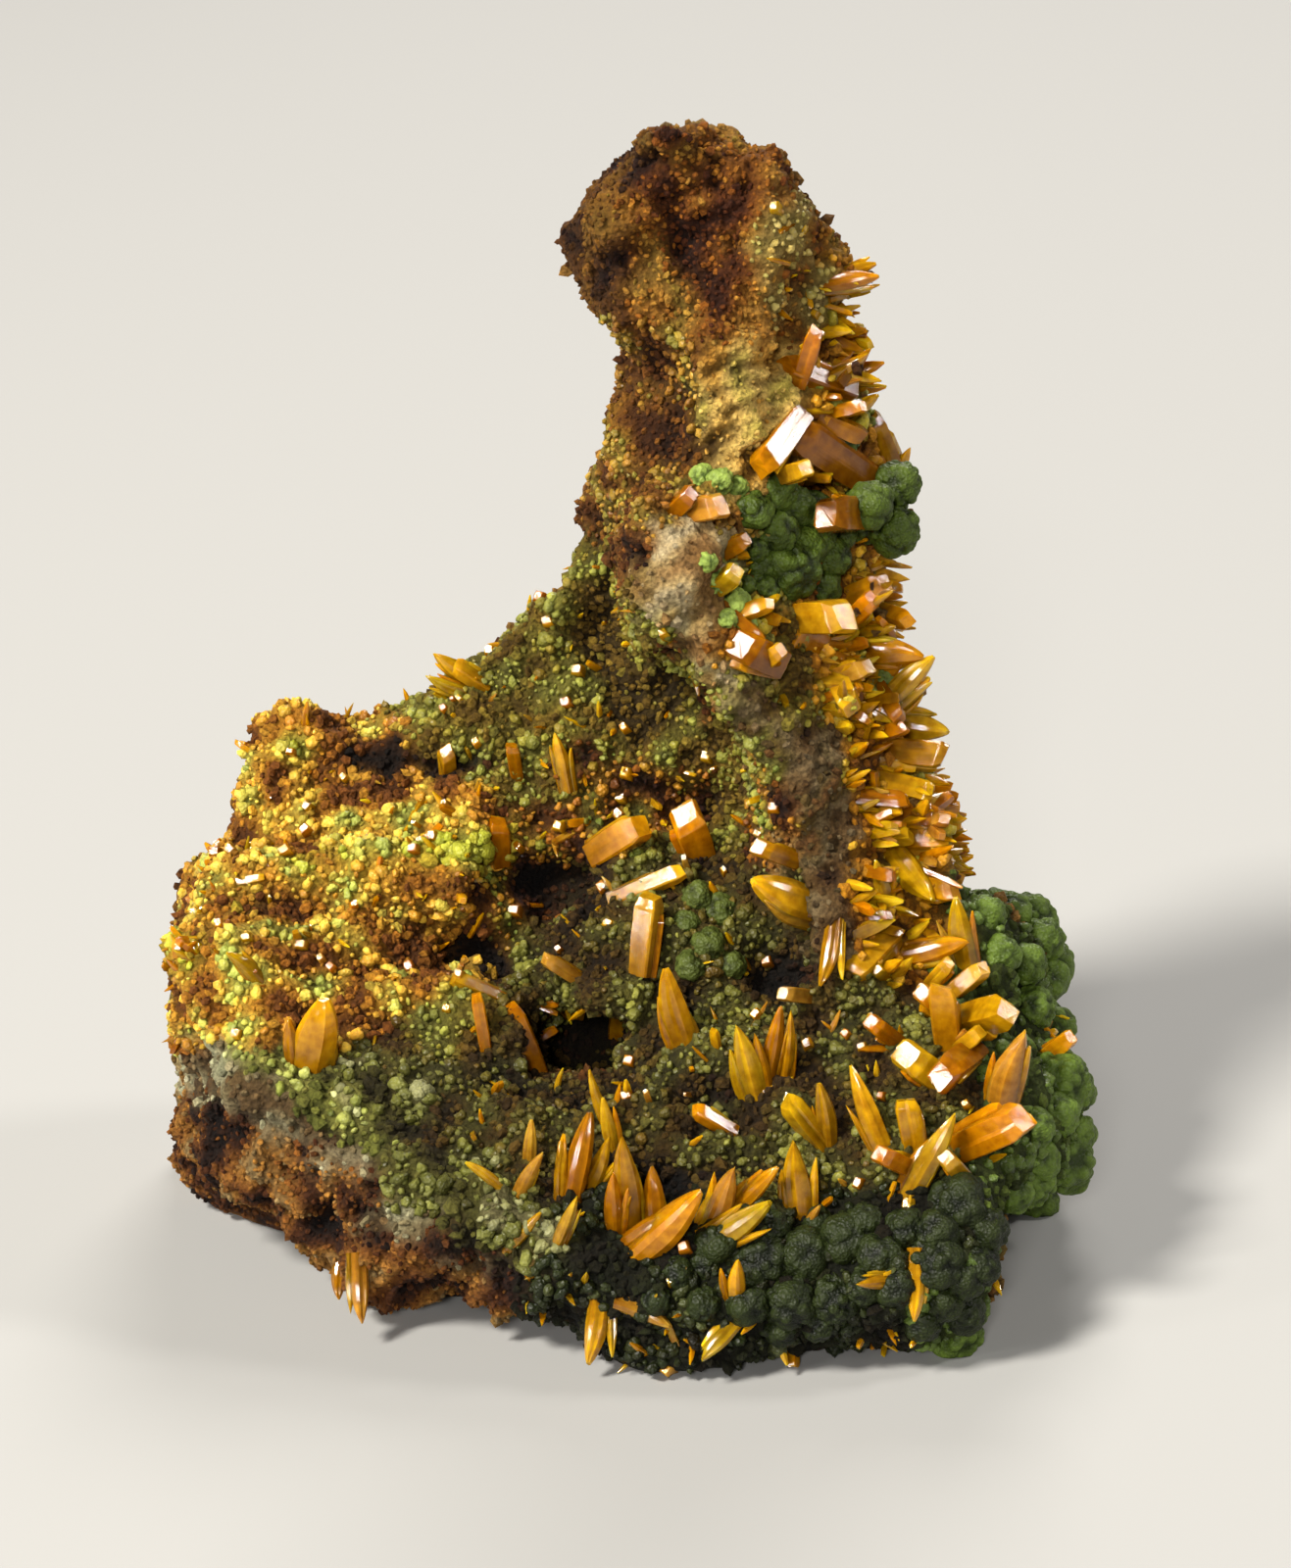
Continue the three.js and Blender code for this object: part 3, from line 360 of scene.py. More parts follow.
# ---- Rock ----
ROCK_VOXEL = 0.69 * MM
SMOOTHINGS = 6
SMOOTHING = 0.6
ROCK_INSET = 0.3 * MM
PORE_REACH = 0.55
STILL_BASE = 3 * MM
CRAG_SIZE = 8 * MM
CRAG_HEIGHT = 1.9 * MM
CHIP_SIZE = 2.2 * MM
CHIP_HEIGHT = 0.55 * MM
PORE_SIZE = 2.6 * MM
PORE_DEPTH = 0.9 * MM
PATCH_SIZE = 4.5 * MM
SPREAD_SIZE = 14 * MM
FIBRE_HEIGHT = 1.2 * MM
FIBRE_SLOPE = math.radians(28)
FIBRE_DENSITY = (0.22, 0.95, 300)
RELIEF_FADE = 0.3
# The fractal noise's roughness, the step between its octaves and their number.
FRACTAL = (0.7, 2.1, 3)
# How the back's pits vary, how much of the chips solid and porous rock has, how patches follow height and
# vary at the back, and how painted shade darkens the colour with depth, darkest in the pits.
BACK_PITS, BACK_SPREAD, MOST_PITS = 0.55, 1.3, 1.5
SOLID_CHIPS, POROUS_CHIPS = 0.4, 0.6
PATCH_BY_HEIGHT, BACK_PATCHES = 0.12, 0.6
SHADE_BY_HEIGHT, SHADE_RANGE, FIBRE_CONTRAST = 0.3, (0.3, 1.15), 0.9

# Knolls and hollows of the face: u, v, half width, half height and how far they stand out, in millimetres.
RELIEF = [
    (-16, -15, 5, 2.4, 2.6), (-10.5, -12.5, 4.2, 3, -3.4), (-8, -9, 2.5, 1.6, -1.6), (-14, -10, 5, 1.5, -2),
    (-17.6, -19, 6, 2.2, -2.8), (-36.5, -9, 13, 2.4, 1.8), (-40, -13.5, 11, 2, -1.6), (-34, -16, 6, 2, 1.2),
    (-31, -20, 8, 2.2, -1.6), (-46, -19, 4, 3, 1.4), (-31, 3, 4, 2.6, -1.8), (-22, 2.5, 7, 1.6, -1.6),
    (-39.5, 7, 5, 3, 1.2), (-25, -3, 8, 2, 1.2), (3.5, 24, 5, 7, 2.4), (-5.5, 25, 3, 9, -1.8),
    (-4, 12, 4, 5, -1.2), (1.5, 10.5, 3, 4, -1.6), (7.5, 14.5, 2.6, 3, 2.2), (11, 9, 2.6, 3, 2.2),
    (14.5, 4.5, 2.8, 3.4, 2), (18, -1, 3.4, 7, 1.8), (21, -15, 4, 5, 1.4), (-3, 12, 4, 4, -1.0),
    (4, 62, 4, 9, -1.0), (-5, 66, 4, 5, 1.2), (13, 66, 4, 6, 1.0), (2, 42, 2.2, 8, -1.8), (-1, 52, 5, 2, 1.2),
    (-46, -40, 6, 4, -1.2), (-36, -49, 7, 3, -1.6), (-28, -52, 5, 2, 1.2), (4, -44, 8, 1.8, -1.8),
    (10, -34, 6, 2, -1.6), (-14, -33, 6, 2.4, -1.4), (14, -21, 4, 3, -2.4), (-6.5, -30.5, 4.5, 4, -3.6),
    (-6, -24, 4, 2, 1.6), (26, -43, 6, 3, 1.4), (12, -50, 9, 3, 1.6), (-10, -50, 7, 2.5, 1.2),
    (30, -52, 3, 2, -1.6),
]


def neighbour_average(values, edges, counts):
    total = np.zeros_like(values)
    for axis in range(values.shape[1]):
        total[:, axis] += np.bincount(edges[:, 0], values[edges[:, 1], axis], len(values))
        total[:, axis] += np.bincount(edges[:, 1], values[edges[:, 0], axis], len(values))
    return total / counts[:, None]


def fine_rock_mesh():
    """The matrix, remeshed fine and smoothed: points and quads as arrays."""
    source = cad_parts["limonite_matrix"]
    copy = source.copy()
    copy.data = source.data.copy()
    bpy.context.scene.collection.objects.link(copy)
    remesh = copy.modifiers.new("fine", "REMESH")
    remesh.mode = "VOXEL"
    remesh.voxel_size = ROCK_VOXEL
    mesh = copy.evaluated_get(bpy.context.evaluated_depsgraph_get()).to_mesh()
    points = np.zeros(len(mesh.vertices) * 3)
    mesh.vertices.foreach_get("co", points)
    quads = np.zeros(len(mesh.loops), int)
    mesh.loops.foreach_get("vertex_index", quads)
    edges = np.zeros(len(mesh.edges) * 2, int)
    mesh.edges.foreach_get("vertices", edges)
    bpy.data.objects.remove(copy)
    points, quads, edges = points.reshape(-1, 3), quads.reshape(-1, 4), edges.reshape(-1, 2)
    counts = np.bincount(edges.ravel(), minlength=len(points))
    for _ in range(SMOOTHINGS):
        points = (1 - SMOOTHING) * points + SMOOTHING * neighbour_average(points, edges, counts)
    return points, quads


def vertex_normals(points, quads):
    across = points[quads[:, 2]] - points[quads[:, 0]]
    along = points[quads[:, 3]] - points[quads[:, 1]]
    faces = np.cross(across, along)
    normals = np.zeros_like(points)
    for corner in range(4):
        for axis in range(3):
            normals[:, axis] += np.bincount(quads[:, corner], faces[:, axis], len(points))
    return normals / np.maximum(np.linalg.norm(normals, axis=1), 1e-12)[:, None]


def noise_at(points, size, shift=0.0):
    return np.array([noise.noise(Vector(p)) for p in points / size + shift])


def fractal_at(points, size):
    return np.array([noise.fractal(Vector(p), *FRACTAL) for p in points / size])


def cells_at(points, size):
    """Distance to the nearest point of a cellular noise, in cells."""
    return np.array([noise.voronoi(Vector(p))[0][0] for p in points / size])


def facing(points, normals):
    """Cosine between each normal and the way to the eye."""
    sight = np.array(EYE) - points
    return np.sum(sight * normals, axis=1) / np.linalg.norm(sight, axis=1)


def spot(uv, u, v, ru, rv):
    """One at (u, v), falling off over the half width and half height."""
    return np.exp(-(((uv[:, 0] - u) / ru) ** 2) - ((uv[:, 1] - v) / rv) ** 2)


def zone_shares(points, normals):
    """How much of each zone each point has, the back zone last; rows add up to one."""
    uv = on_plane(points)
    for size, reach in ZONE_WARPS:
        uv[:, 0] += reach * noise_at(points, size, 3.3)
        uv[:, 1] += reach * noise_at(points, size, 9.1)
    columns = []
    for zone in ZONES.values():
        nearness = np.zeros(len(points))
        for place in zone["spots"]:
            nearness = np.maximum(nearness, spot(uv, *place))
        columns.append(nearness**4)
    away = np.clip((BACK_FROM - facing(points, normals)) / BACK_OVER, 0, 1)
    shares = np.column_stack(columns)
    shares /= shares.sum(axis=1)[:, None] + 1e-9
    return np.column_stack((shares * (1 - away)[:, None], away))


def relief_at(points, normals):
    """How far the knolls and hollows of the face push each point out."""
    uv = on_plane(points)
    height = np.zeros(len(points))
    for *place, out in RELIEF:
        height += out * MM * spot(uv, *place)
    return height * np.clip(facing(points, normals) / RELIEF_FADE, 0, 1)


def fibres_at(points):
    """Ridges that run up to the right across the neck's pale face."""
    uv = on_plane(points)
    along = uv[:, 0] * math.cos(FIBRE_SLOPE) + uv[:, 1] * math.sin(FIBRE_SLOPE)
    across = uv[:, 1] * math.cos(FIBRE_SLOPE) - uv[:, 0] * math.sin(FIBRE_SLOPE)
    places = np.column_stack((along, across, points[:, 1])) * FIBRE_DENSITY
    return noise_at(places, 1.0) * FIBRE_HEIGHT


def zone_values(shares, key):
    return shares @ np.array([zone[key] for zone in ALL_ZONES])


def in_scene(name, data):
    made = bpy.data.objects.new(name, data)
    bpy.context.scene.collection.objects.link(made)
    return made


def add_mesh(name, points, faces, material, tint=None, grain=None, sharp=None):
    """An object from arrays of points and equal-sided faces, with a tint colour and a grain vector."""
    points[:, 2] = np.maximum(points[:, 2], 0)
    mesh = bpy.data.meshes.new(name)
    sides = faces.shape[1]
    mesh.vertices.add(len(points))
    mesh.vertices.foreach_set("co", np.ascontiguousarray(points, np.float32).ravel())
    mesh.loops.add(faces.size)
    mesh.loops.foreach_set("vertex_index", np.ascontiguousarray(faces, np.int32).ravel())
    mesh.polygons.add(len(faces))
    mesh.polygons.foreach_set("loop_start", np.arange(0, faces.size, sides, dtype=np.int32))
    mesh.update(calc_edges=True)
    mesh.validate()
    mesh.polygons.foreach_set("use_smooth", np.ones(len(mesh.polygons), bool))
    if tint is not None:
        colours = np.column_stack((tint, np.ones(len(tint)))).astype(np.float32)
        mesh.attributes.new("tint", "FLOAT_COLOR", "POINT").data.foreach_set("color", colours.ravel())
    if grain is not None:
        layer = mesh.attributes.new("grain", "FLOAT_VECTOR", "POINT")
        layer.data.foreach_set("vector", np.ascontiguousarray(grain, np.float32).ravel())
    if sharp is not None:
        mesh.set_sharp_from_angle(angle=math.radians(sharp))
    mesh.materials.append(material)
    piece = in_scene(name, mesh)
    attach(piece, "root")
    return piece


# ---- Materials ----
def new_material(name):
    material = bpy.data.materials.new(name)
    material.use_nodes = True
    return material, material.node_tree, material.node_tree.nodes["Principled BSDF"]


def node(tree, kind, **settings):
    made = tree.nodes.new(kind)
    for key, value in settings.items():
        if key in made.inputs:
            made.inputs[key].default_value = value
        else:
            setattr(made, key, value)
    return made


def join(*links):
    for start, output, end, socket in links:
        start.id_data.links.new(start.outputs[output], end.inputs[socket])


def tinted_material(name, places, dark, light, bump, **inputs):
    """A bumped material in each point's tint, mottled by a ramp that the caller links."""
    material, tree, shader = new_material(name)
    tint = node(tree, "ShaderNodeAttribute", attribute_name="tint")
    ramp = node(tree, "ShaderNodeValToRGB")
    for element, place, shade in zip(ramp.color_ramp.elements, places, (dark, light)):
        element.position = place
        element.color = (*shade, 1)
    colour = node(tree, "ShaderNodeMix", data_type="RGBA", blend_type="MULTIPLY")
    colour.inputs["Factor"].default_value = 1.0
    bump = node(tree, "ShaderNodeBump", Strength=bump[0], Distance=bump[1])
    join(
        (tint, "Color", colour, 6), (ramp, "Color", colour, 7), (colour, 2, shader, "Base Color"),
        (bump, "Normal", shader, "Normal"))
    for key, value in inputs.items():
        shader.inputs[key].default_value = value
    return material, tree, shader, ramp, bump


def limonite_material():
    material, tree, _, ramp, bump = tinted_material(
        "limonite", (0.3, 0.7), (0.35, 0.3, 0.26), (1.5, 1.4, 1.25), (1.0, 0.0007),
        **{"Roughness": 0.85, "Specular IOR Level": 0.2})
    place = node(tree, "ShaderNodeTexCoord")
    speckle = node(tree, "ShaderNodeTexNoise", Scale=1500.0, Detail=8.0, Roughness=0.75)
    crumbs = node(tree, "ShaderNodeTexVoronoi", Scale=1500.0)
    relief = node(tree, "ShaderNodeMath", operation="ADD")
    join(
        (place, "Object", speckle, "Vector"), (place, "Object", crumbs, "Vector"),
        (speckle, "Fac", ramp, "Fac"), (speckle, "Fac", relief, 0), (crumbs, "Distance", relief, 1),
        (relief, 0, bump, "Height"))
    return material


def mimetite_material(name, smoothest, roughest):
    material, tree, shader, ramp, bump = tinted_material(
        name, (0.35, 0.75), (0.7, 0.72, 0.68), (1.35, 1.35, 1.3), (0.7, 0.00025),
        **{"IOR": 1.42, "Specular IOR Level": 0.3, "Subsurface Weight": 0.2,
           "Subsurface Radius": (1.0, 1.0, 0.8), "Subsurface Scale": 0.0008})
    place = node(tree, "ShaderNodeTexCoord")
    frost = node(tree, "ShaderNodeTexNoise", Scale=700.0, Detail=5.0, Roughness=0.65)
    druse = node(tree, "ShaderNodeTexVoronoi", Scale=2600.0)
    gloss = node(tree, "ShaderNodeMapRange", **{"To Min": smoothest, "To Max": roughest})
    join(
        (place, "Object", frost, "Vector"), (place, "Object", druse, "Vector"),
        (frost, "Fac", ramp, "Fac"), (frost, "Fac", gloss, "Value"), (gloss, "Result", shader, "Roughness"),
        (druse, "Distance", bump, "Height"))
    return material


def wulfenite_material():
    material, tree, shader, ramp, bump = tinted_material(
        "wulfenite", (0.3, 0.7), (0.75, 0.65, 0.45), (1.3, 1.35, 1.2), (0.5, 0.00012),
        **{"IOR": 1.48, "Transmission Weight": 0.3, "Subsurface Weight": 0.6,
           "Subsurface Radius": (1.0, 0.8, 0.15), "Subsurface Scale": 0.001})
    along = node(tree, "ShaderNodeAttribute", attribute_name="grain")
    stretch = node(tree, "ShaderNodeMapping")
    stretch.inputs["Scale"].default_value = (1.6, 0.1, 1.6)
    streaks = node(tree, "ShaderNodeTexNoise", Scale=1.6, Detail=5.0, Roughness=0.6)
    cloud = node(tree, "ShaderNodeTexNoise", Scale=0.8, Detail=4.0)
    gloss = node(tree, "ShaderNodeMapRange", **{"To Min": 0.02, "To Max": 0.14})
    join(
        (along, "Vector", stretch, "Vector"), (along, "Vector", cloud, "Vector"),
        (stretch, "Vector", streaks, "Vector"), (cloud, "Fac", ramp, "Fac"), (streaks, "Fac", gloss, "Value"),
        (gloss, "Result", shader, "Roughness"), (streaks, "Fac", bump, "Height"))
    return material


LIMONITE = limonite_material()
MIMETITE_GRAINS = mimetite_material("mimetite_grains", 0.25, 0.6)
MIMETITE_LUMPS = mimetite_material("mimetite_lumps", 0.35, 0.7)
WULFENITE_GLOSS = wulfenite_material()


# ---- Templates ----
def ball_template(subdivisions):
    form = bmesh.new()
    bmesh.ops.create_icosphere(form, subdivisions=subdivisions, radius=1.0)
    points = np.array([v.co for v in form.verts])
    faces = np.array([[v.index for v in f.verts] for f in form.faces])
    form.free()
    return points, faces


DOME_DEPTH = -0.35


def dome_template(subdivisions):
    """A ball without the part that is sunk in the rock."""
    points, faces = ball_template(subdivisions)
    faces = faces[points[faces, 2].mean(axis=1) > DOME_DEPTH]
    used, faces = np.unique(faces, return_inverse=True)
    return points[used], faces.reshape(-1, 3)


def turned_to(normals):
    """Rotation matrices that stand +Z on the normals, with a random turn about them."""
    side = np.cross(normals, rng.normal(size=normals.shape))
    side /= np.linalg.norm(side, axis=1)[:, None]
    return np.stack((side, np.cross(normals, side), normals), axis=2)


def copies(template, centres, radii, turns, stretch):
    """Points and faces of a template repeated at each centre."""
    points, faces = template
    placed = np.einsum("nij,nkj->nki", turns, points[None] * stretch)
    placed = placed * radii[:, None, None] + centres[:, None]
    shifted = faces[None] + (np.arange(len(centres)) * len(points))[:, None, None]
    return placed.reshape(-1, 3), shifted.reshape(-1, faces.shape[1])


# ---- The rock and its grains ----
rock_points, rock_quads = fine_rock_mesh()
rock_normals = vertex_normals(rock_points, rock_quads)
rock_shares = zone_shares(rock_points, rock_normals)


def displaced_rock():
    pores = zone_values(rock_shares, "pores")
    crags = fractal_at(rock_points, CRAG_SIZE) * CRAG_HEIGHT
    chips = fractal_at(rock_points, CHIP_SIZE) * CHIP_HEIGHT
    nearest = cells_at(rock_points, PORE_SIZE)
    uneven = np.clip(BACK_PITS + BACK_SPREAD * noise_at(rock_points, SPREAD_SIZE, 5.3), 0, MOST_PITS)
    pores *= 1 + rock_shares[:, -1] * (uneven - 1)
    pits = -np.clip(1 - nearest / PORE_REACH, 0, 1) * PORE_DEPTH * pores
    fibres = fibres_at(rock_points) * rock_shares[:, ZONE_INDEX["fibrous"]]
    height = (fibres + crags + chips * (SOLID_CHIPS + POROUS_CHIPS * pores) + pits - ROCK_INSET
              + relief_at(rock_points, rock_normals))
    near_base = np.clip(rock_points[:, 2] / STILL_BASE, 0, 1)
    points = rock_points + rock_normals * (height * near_base)[:, None]
    points[:, 2] = np.maximum(points[:, 2], 0)
    return points, height


fine_points, rock_height = displaced_rock()
rock_patches = np.clip(
    0.5 + noise_at(rock_points, PATCH_SIZE, 1.7) + rock_height / MM * PATCH_BY_HEIGHT
    + rock_shares[:, -1] * BACK_PATCHES * noise_at(rock_points, SPREAD_SIZE, 2.9), 0, 1)


def rock_tints():
    """The palettes' colours by patch, with painted shade between the grains that is darkest in the pits."""
    step = (rock_patches * (PALETTE_STEPS - 1)).astype(int)
    tints = np.zeros_like(fine_points)
    for zone in range(len(ALL_ZONES)):
        tints += rock_shares[:, zone, None] * PALETTES[zone, step]
    fibres = fibres_at(rock_points) / FIBRE_HEIGHT * rock_shares[:, ZONE_INDEX["fibrous"]]
    depth = np.clip(1 + rock_height / MM * SHADE_BY_HEIGHT, *SHADE_RANGE) * (1 + FIBRE_CONTRAST * fibres)
    return tints * (zone_values(rock_shares, "painted_gap_shade") * depth)[:, None]


rock = add_mesh("limonite", fine_points, rock_quads, LIMONITE, tint=rock_tints())
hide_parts("limonite_matrix")

CANDIDATES = 130000
GRAIN_SINK = 0.48
BASE_MARGIN = 1.2 * MM
GRAIN_CELL = 1.9 * MM
ZONE_MIXING, LEAST_SHARE = 0.3, 0.03
SPACING_SPREAD = (0.75, 1.25)
PATCH_SPREAD, DRY_SPREAD = 0.16, 0.1
GRAIN_SHADES = (0.68, 1.2)


def scattered_grains():
    """Places on the rock that carry a grain: point, normal, zone and patch, spaced as the zones say."""
    corners = fine_points[rock_quads]
    areas = np.linalg.norm(np.cross(corners[:, 2] - corners[:, 0], corners[:, 3] - corners[:, 1]), axis=1)
    picked = rock_quads[rng.choice(len(rock_quads), CANDIDATES, p=areas / areas.sum())]
    weights = rng.dirichlet(np.ones(4), CANDIDATES)
    places = np.einsum("nc,nci->ni", weights, fine_points[picked])
    first = picked[:, 0]
    shares = rock_shares[first]
    mixed = shares + rng.uniform(0, ZONE_MIXING, shares.shape) * (shares > LEAST_SHARE)
    zones = np.argmax(mixed, axis=1)
    spacing = np.array([zone["spacing"] for zone in ALL_ZONES])[zones]
    spacing = spacing * rng.uniform(*SPACING_SPREAD, CANDIDATES) * MM
    taken, chosen = {}, []
    for i, (place, key) in enumerate(zip(places, map(tuple, (places // GRAIN_CELL).astype(int)))):
        if place[2] < BASE_MARGIN:
            continue
        x, y, z = key
        near = [j for a in (x - 1, x, x + 1) for b in (y - 1, y, y + 1) for c in (z - 1, z, z + 1)
                for j in taken.get((a, b, c), ())]
        if near and ((places[near] - place) ** 2).sum(axis=1).min() < spacing[i] ** 2:
            continue
        taken.setdefault(key, []).append(i)
        chosen.append(i)
    first = first[chosen]
    return places[chosen], rock_normals[first], zones[chosen], rock_patches[first]


grain_places, grain_normals, grain_zones, grain_patches = scattered_grains()
low, high = np.array([zone["radii"] for zone in ALL_ZONES])[grain_zones].T
grain_radii = (low + (high - low) * rng.uniform(0, 1, len(low)) ** 2) * MM
grain_steps = np.clip(grain_patches + rng.normal(0, PATCH_SPREAD, len(low)), 0, 1) * (PALETTE_STEPS - 1)
grain_tints = PALETTES[grain_zones, grain_steps.astype(int)] * rng.uniform(*GRAIN_SHADES, (len(low), 1))
grain_centres = grain_places + grain_normals * (grain_radii * (1 - 2 * GRAIN_SINK))[:, None]
DRY_ZONES = [ZONE_INDEX[name] for name in (
    "broken", "pale_break", "head", "head_left", "grey_break", "ridge_foot", "fibrous", "dark")]
DRY_PATCH = 0.42
# Painted shade on every grain: darker at its root in the rock, lighter towards its top.
ROOT_AND_TOP, PAINTED_SHADE_ROOT_TO_TOP = (-0.4, 0.9), (0.5, 1.2)
DOME_FROM = 0.5 * MM
CRUMB = ball_template(1)
DOME = dome_template(2)


def add_grains(name, chosen, template, material, stretch, roughness, sharp=None):
    count = int(chosen.sum())
    lumpiness = rng.uniform(1 - roughness, 1 + roughness, (count, len(template[0]), 1))
    jitter = lumpiness * rng.uniform(*stretch, (count, 1, 3))
    points, faces = copies(
        template, grain_centres[chosen], grain_radii[chosen], turned_to(grain_normals[chosen]), jitter)
    shade = np.interp(template[0][:, 2], ROOT_AND_TOP, PAINTED_SHADE_ROOT_TO_TOP)
    tint = (grain_tints[chosen][:, None] * shade[None, :, None]).reshape(-1, 3)
    return add_mesh(name, points, faces, material, tint=tint, sharp=sharp)


back = grain_zones == len(ZONES)
dry_patch = grain_patches + rng.normal(0, DRY_SPREAD, len(low)) < DRY_PATCH
dry = np.isin(grain_zones, DRY_ZONES) | dry_patch | back
left = grain_places[:, 0] < 0
for name, chosen in (("limonite_crumbs", dry & ~back), ("limonite_crumbs_back", back)):
    add_grains(name, chosen, CRUMB, LIMONITE, (0.65, 1.45), 0.22, sharp=20)
small = grain_radii < DOME_FROM
for name, chosen, template in (
    ("mimetite_grains", ~dry & small, CRUMB),
    ("mimetite_domes_left", ~dry & ~small & left, DOME),
    ("mimetite_domes_right", ~dry & ~small & ~left, DOME),
):
    add_grains(name, chosen, template, MIMETITE_GRAINS, (0.65, 1.4), 0.25)

# ---- Mimetite lumps ----
rock_surface = BVHTree.FromPolygons(fine_points.tolist(), rock_quads.tolist())
LONGEST_SLIDE = 10
BALL_SINK = 0.25


def strike(u, v):
    """Where the sight line through (u, v) meets the rock; past its edge it slides in towards the axis."""
    for step in range(2 * LONGEST_SLIDE):
        aim = at_depth(u - math.copysign(step / 2, u), v, 0)
        place = rock_surface.ray_cast(EYE, (aim - EYE).normalized())[0]
        if place:
            return place
    raise ValueError(f"no rock near {u}, {v}")


def ball_centre(u, v, radius, y=None):
    centre = strike(u, v) if y is None else at_depth(u, v, 0)
    sight = (centre - EYE).normalized()
    if y is None:
        return centre + sight * (BALL_SINK * radius * MM)
    return centre + sight * ((y * MM - centre.y) / sight.y)


LARGE_FROM = 2.9
LOWEST_KNOB, KNOB_RISE = 0.82, 0.16
# How many knobs a ball has, how far out they sit and how large they are, as shares of its radius.
LARGE_KNOBS = (12, (0.4, 0.55), (0.45, 0.55))
SMALL_KNOBS = (130, (0.72, 0.8), (0.14, 0.24))
LARGE_BALL = ball_template(5)
SMALL_BALL = ball_template(4)


def knobs_of(rays, count, reach, size):
    """Distance along each ray to the outermost of many small balls that sit about the middle."""
    heads = rng.normal(size=(count, 3))
    heads /= np.linalg.norm(heads, axis=1)[:, None]
    reach = rng.uniform(*reach, count)
    size = rng.uniform(*size, count)
    along = rays @ (heads * reach[:, None]).T
    inside = along**2 - reach**2 + size**2
    return np.where(inside > 0, along + np.sqrt(np.maximum(inside, 0)), 0).max(axis=1)


def knobbly_ball(centre, radius, template):
    """A ball grown from many smaller ones, large knobs with small ones between them."""
    rays = template[0]
    large = knobs_of(rays, *LARGE_KNOBS)
    small = knobs_of(rays, *SMALL_KNOBS)
    surface = np.maximum(np.maximum(large, small), LOWEST_KNOB)
    return rays * (surface * radius)[:, None] + np.array(centre), surface


def add_lump(name, balls, colours, nodes):
    points, faces, tints = [], [], []
    count = 0
    for u, v, radius, *y in balls:
        template = LARGE_BALL if radius > LARGE_FROM else SMALL_BALL
        centre = ball_centre(u, v, radius, *y)
        placed, surface = knobbly_ball(centre, radius * MM, template)
        points.append(placed)
        faces.append(template[1] + count)
        count += len(placed)
        # Painted shade: darker in the crevices between the knobs, lighter on the knob tops.
        painted_knob_light = np.clip((surface - LOWEST_KNOB) / KNOB_RISE, 0, 1)[:, None]
        tints.append(colours[0] + (colours[1] - colours[0]) * painted_knob_light)
    lump = add_mesh(name, np.vstack(points), np.vstack(faces), MIMETITE_LUMPS, tint=np.vstack(tints))
    if nodes:
        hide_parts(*nodes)


# Each cluster's colour in the crevices between knobs and on the knob tops; the darker crevices are painted
# shade.
LUMP_COLOURS = {
    "tower": (linear(0x1E2806), linear(0x465618)),
    "front_": (linear(0x0A1003), linear(0x222A0C)),
    "right": (linear(0x27340C), linear(0x566A24)),
    "ridge": (linear(0x485A20), linear(0x8CA04A)),
    "floor": (linear(0x262C0A), linear(0x4E5824)),
    "flank": (linear(0x363E14), linear(0x687432)),
}


def colours_for(cluster):
    return next(colours for place, colours in LUMP_COLOURS.items() if place in cluster)


for cluster, balls in MIMETITE.items():
    nodes = [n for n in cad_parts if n.startswith(f"mimetite_{cluster}_")]
    add_lump(f"mimetite_{cluster}", balls, colours_for(cluster), nodes)
for cluster, balls in LESSER_MIMETITE.items():
    add_lump(f"small_mimetite_{cluster}", balls, colours_for(cluster), [])

# ---- Wulfenite crystals ----
RINGS = 14
FEW_RINGS = 5
ROOTING = 2
SECTION = {
    BLADE: [(-1, 0.15), (-0.86, 0.55), (-0.62, 0.62), (-0.3, 0.98), (0.12, 1), (0.36, 0.86), (0.66, 0.8),
            (0.92, 0.4), (1, -0.2), (0.8, -0.62), (0.42, -0.7), (0.1, -1), (-0.3, -0.98), (-0.6, -0.74),
            (-0.9, -0.5)],
    BLOCK: [(-1, 0.72), (-0.9, 0.94), (-0.1, 1), (0.1, 0.95), (0.86, 0.97), (1, 0.8), (0.98, -0.75),
            (0.88, -1), (0.15, -0.96), (-0.1, -1), (-0.85, -0.95), (-1, -0.8)],
}
THICKER = {BLADE: 1.2, BLOCK: 1.3}
SHOULDER = 0.42
SLANT = 0.45
ASIDE = 0.24
END_ROUGHNESS = 0.45
BEND = {BLADE: 2, BLOCK: 0.3}
UNEVENNESS = (0.93, 1.07)
TIP_WIDTH = (0.03, 0.26)
CROWDING = {BLADE: 0.8, BLOCK: 0.3}


def outline_at(habit, t, tip):
    """Share of the full width and thickness at a share t of the length."""
    rise = 0.88 + 0.12 * min(t / SHOULDER, 1)
    if habit == BLOCK:
        end = max(0.0, (t - 0.88) / 0.12)
        return rise * (1 - 0.26 * end), rise * (1 - 0.34 * end)
    s = max(0.0, (t - SHOULDER) / (1 - SHOULDER))
    return rise * (tip + (1 - tip) * (1 - s**1.9) ** 0.9), rise * (0.3 + 0.7 * (1 - s**2) ** 0.7)


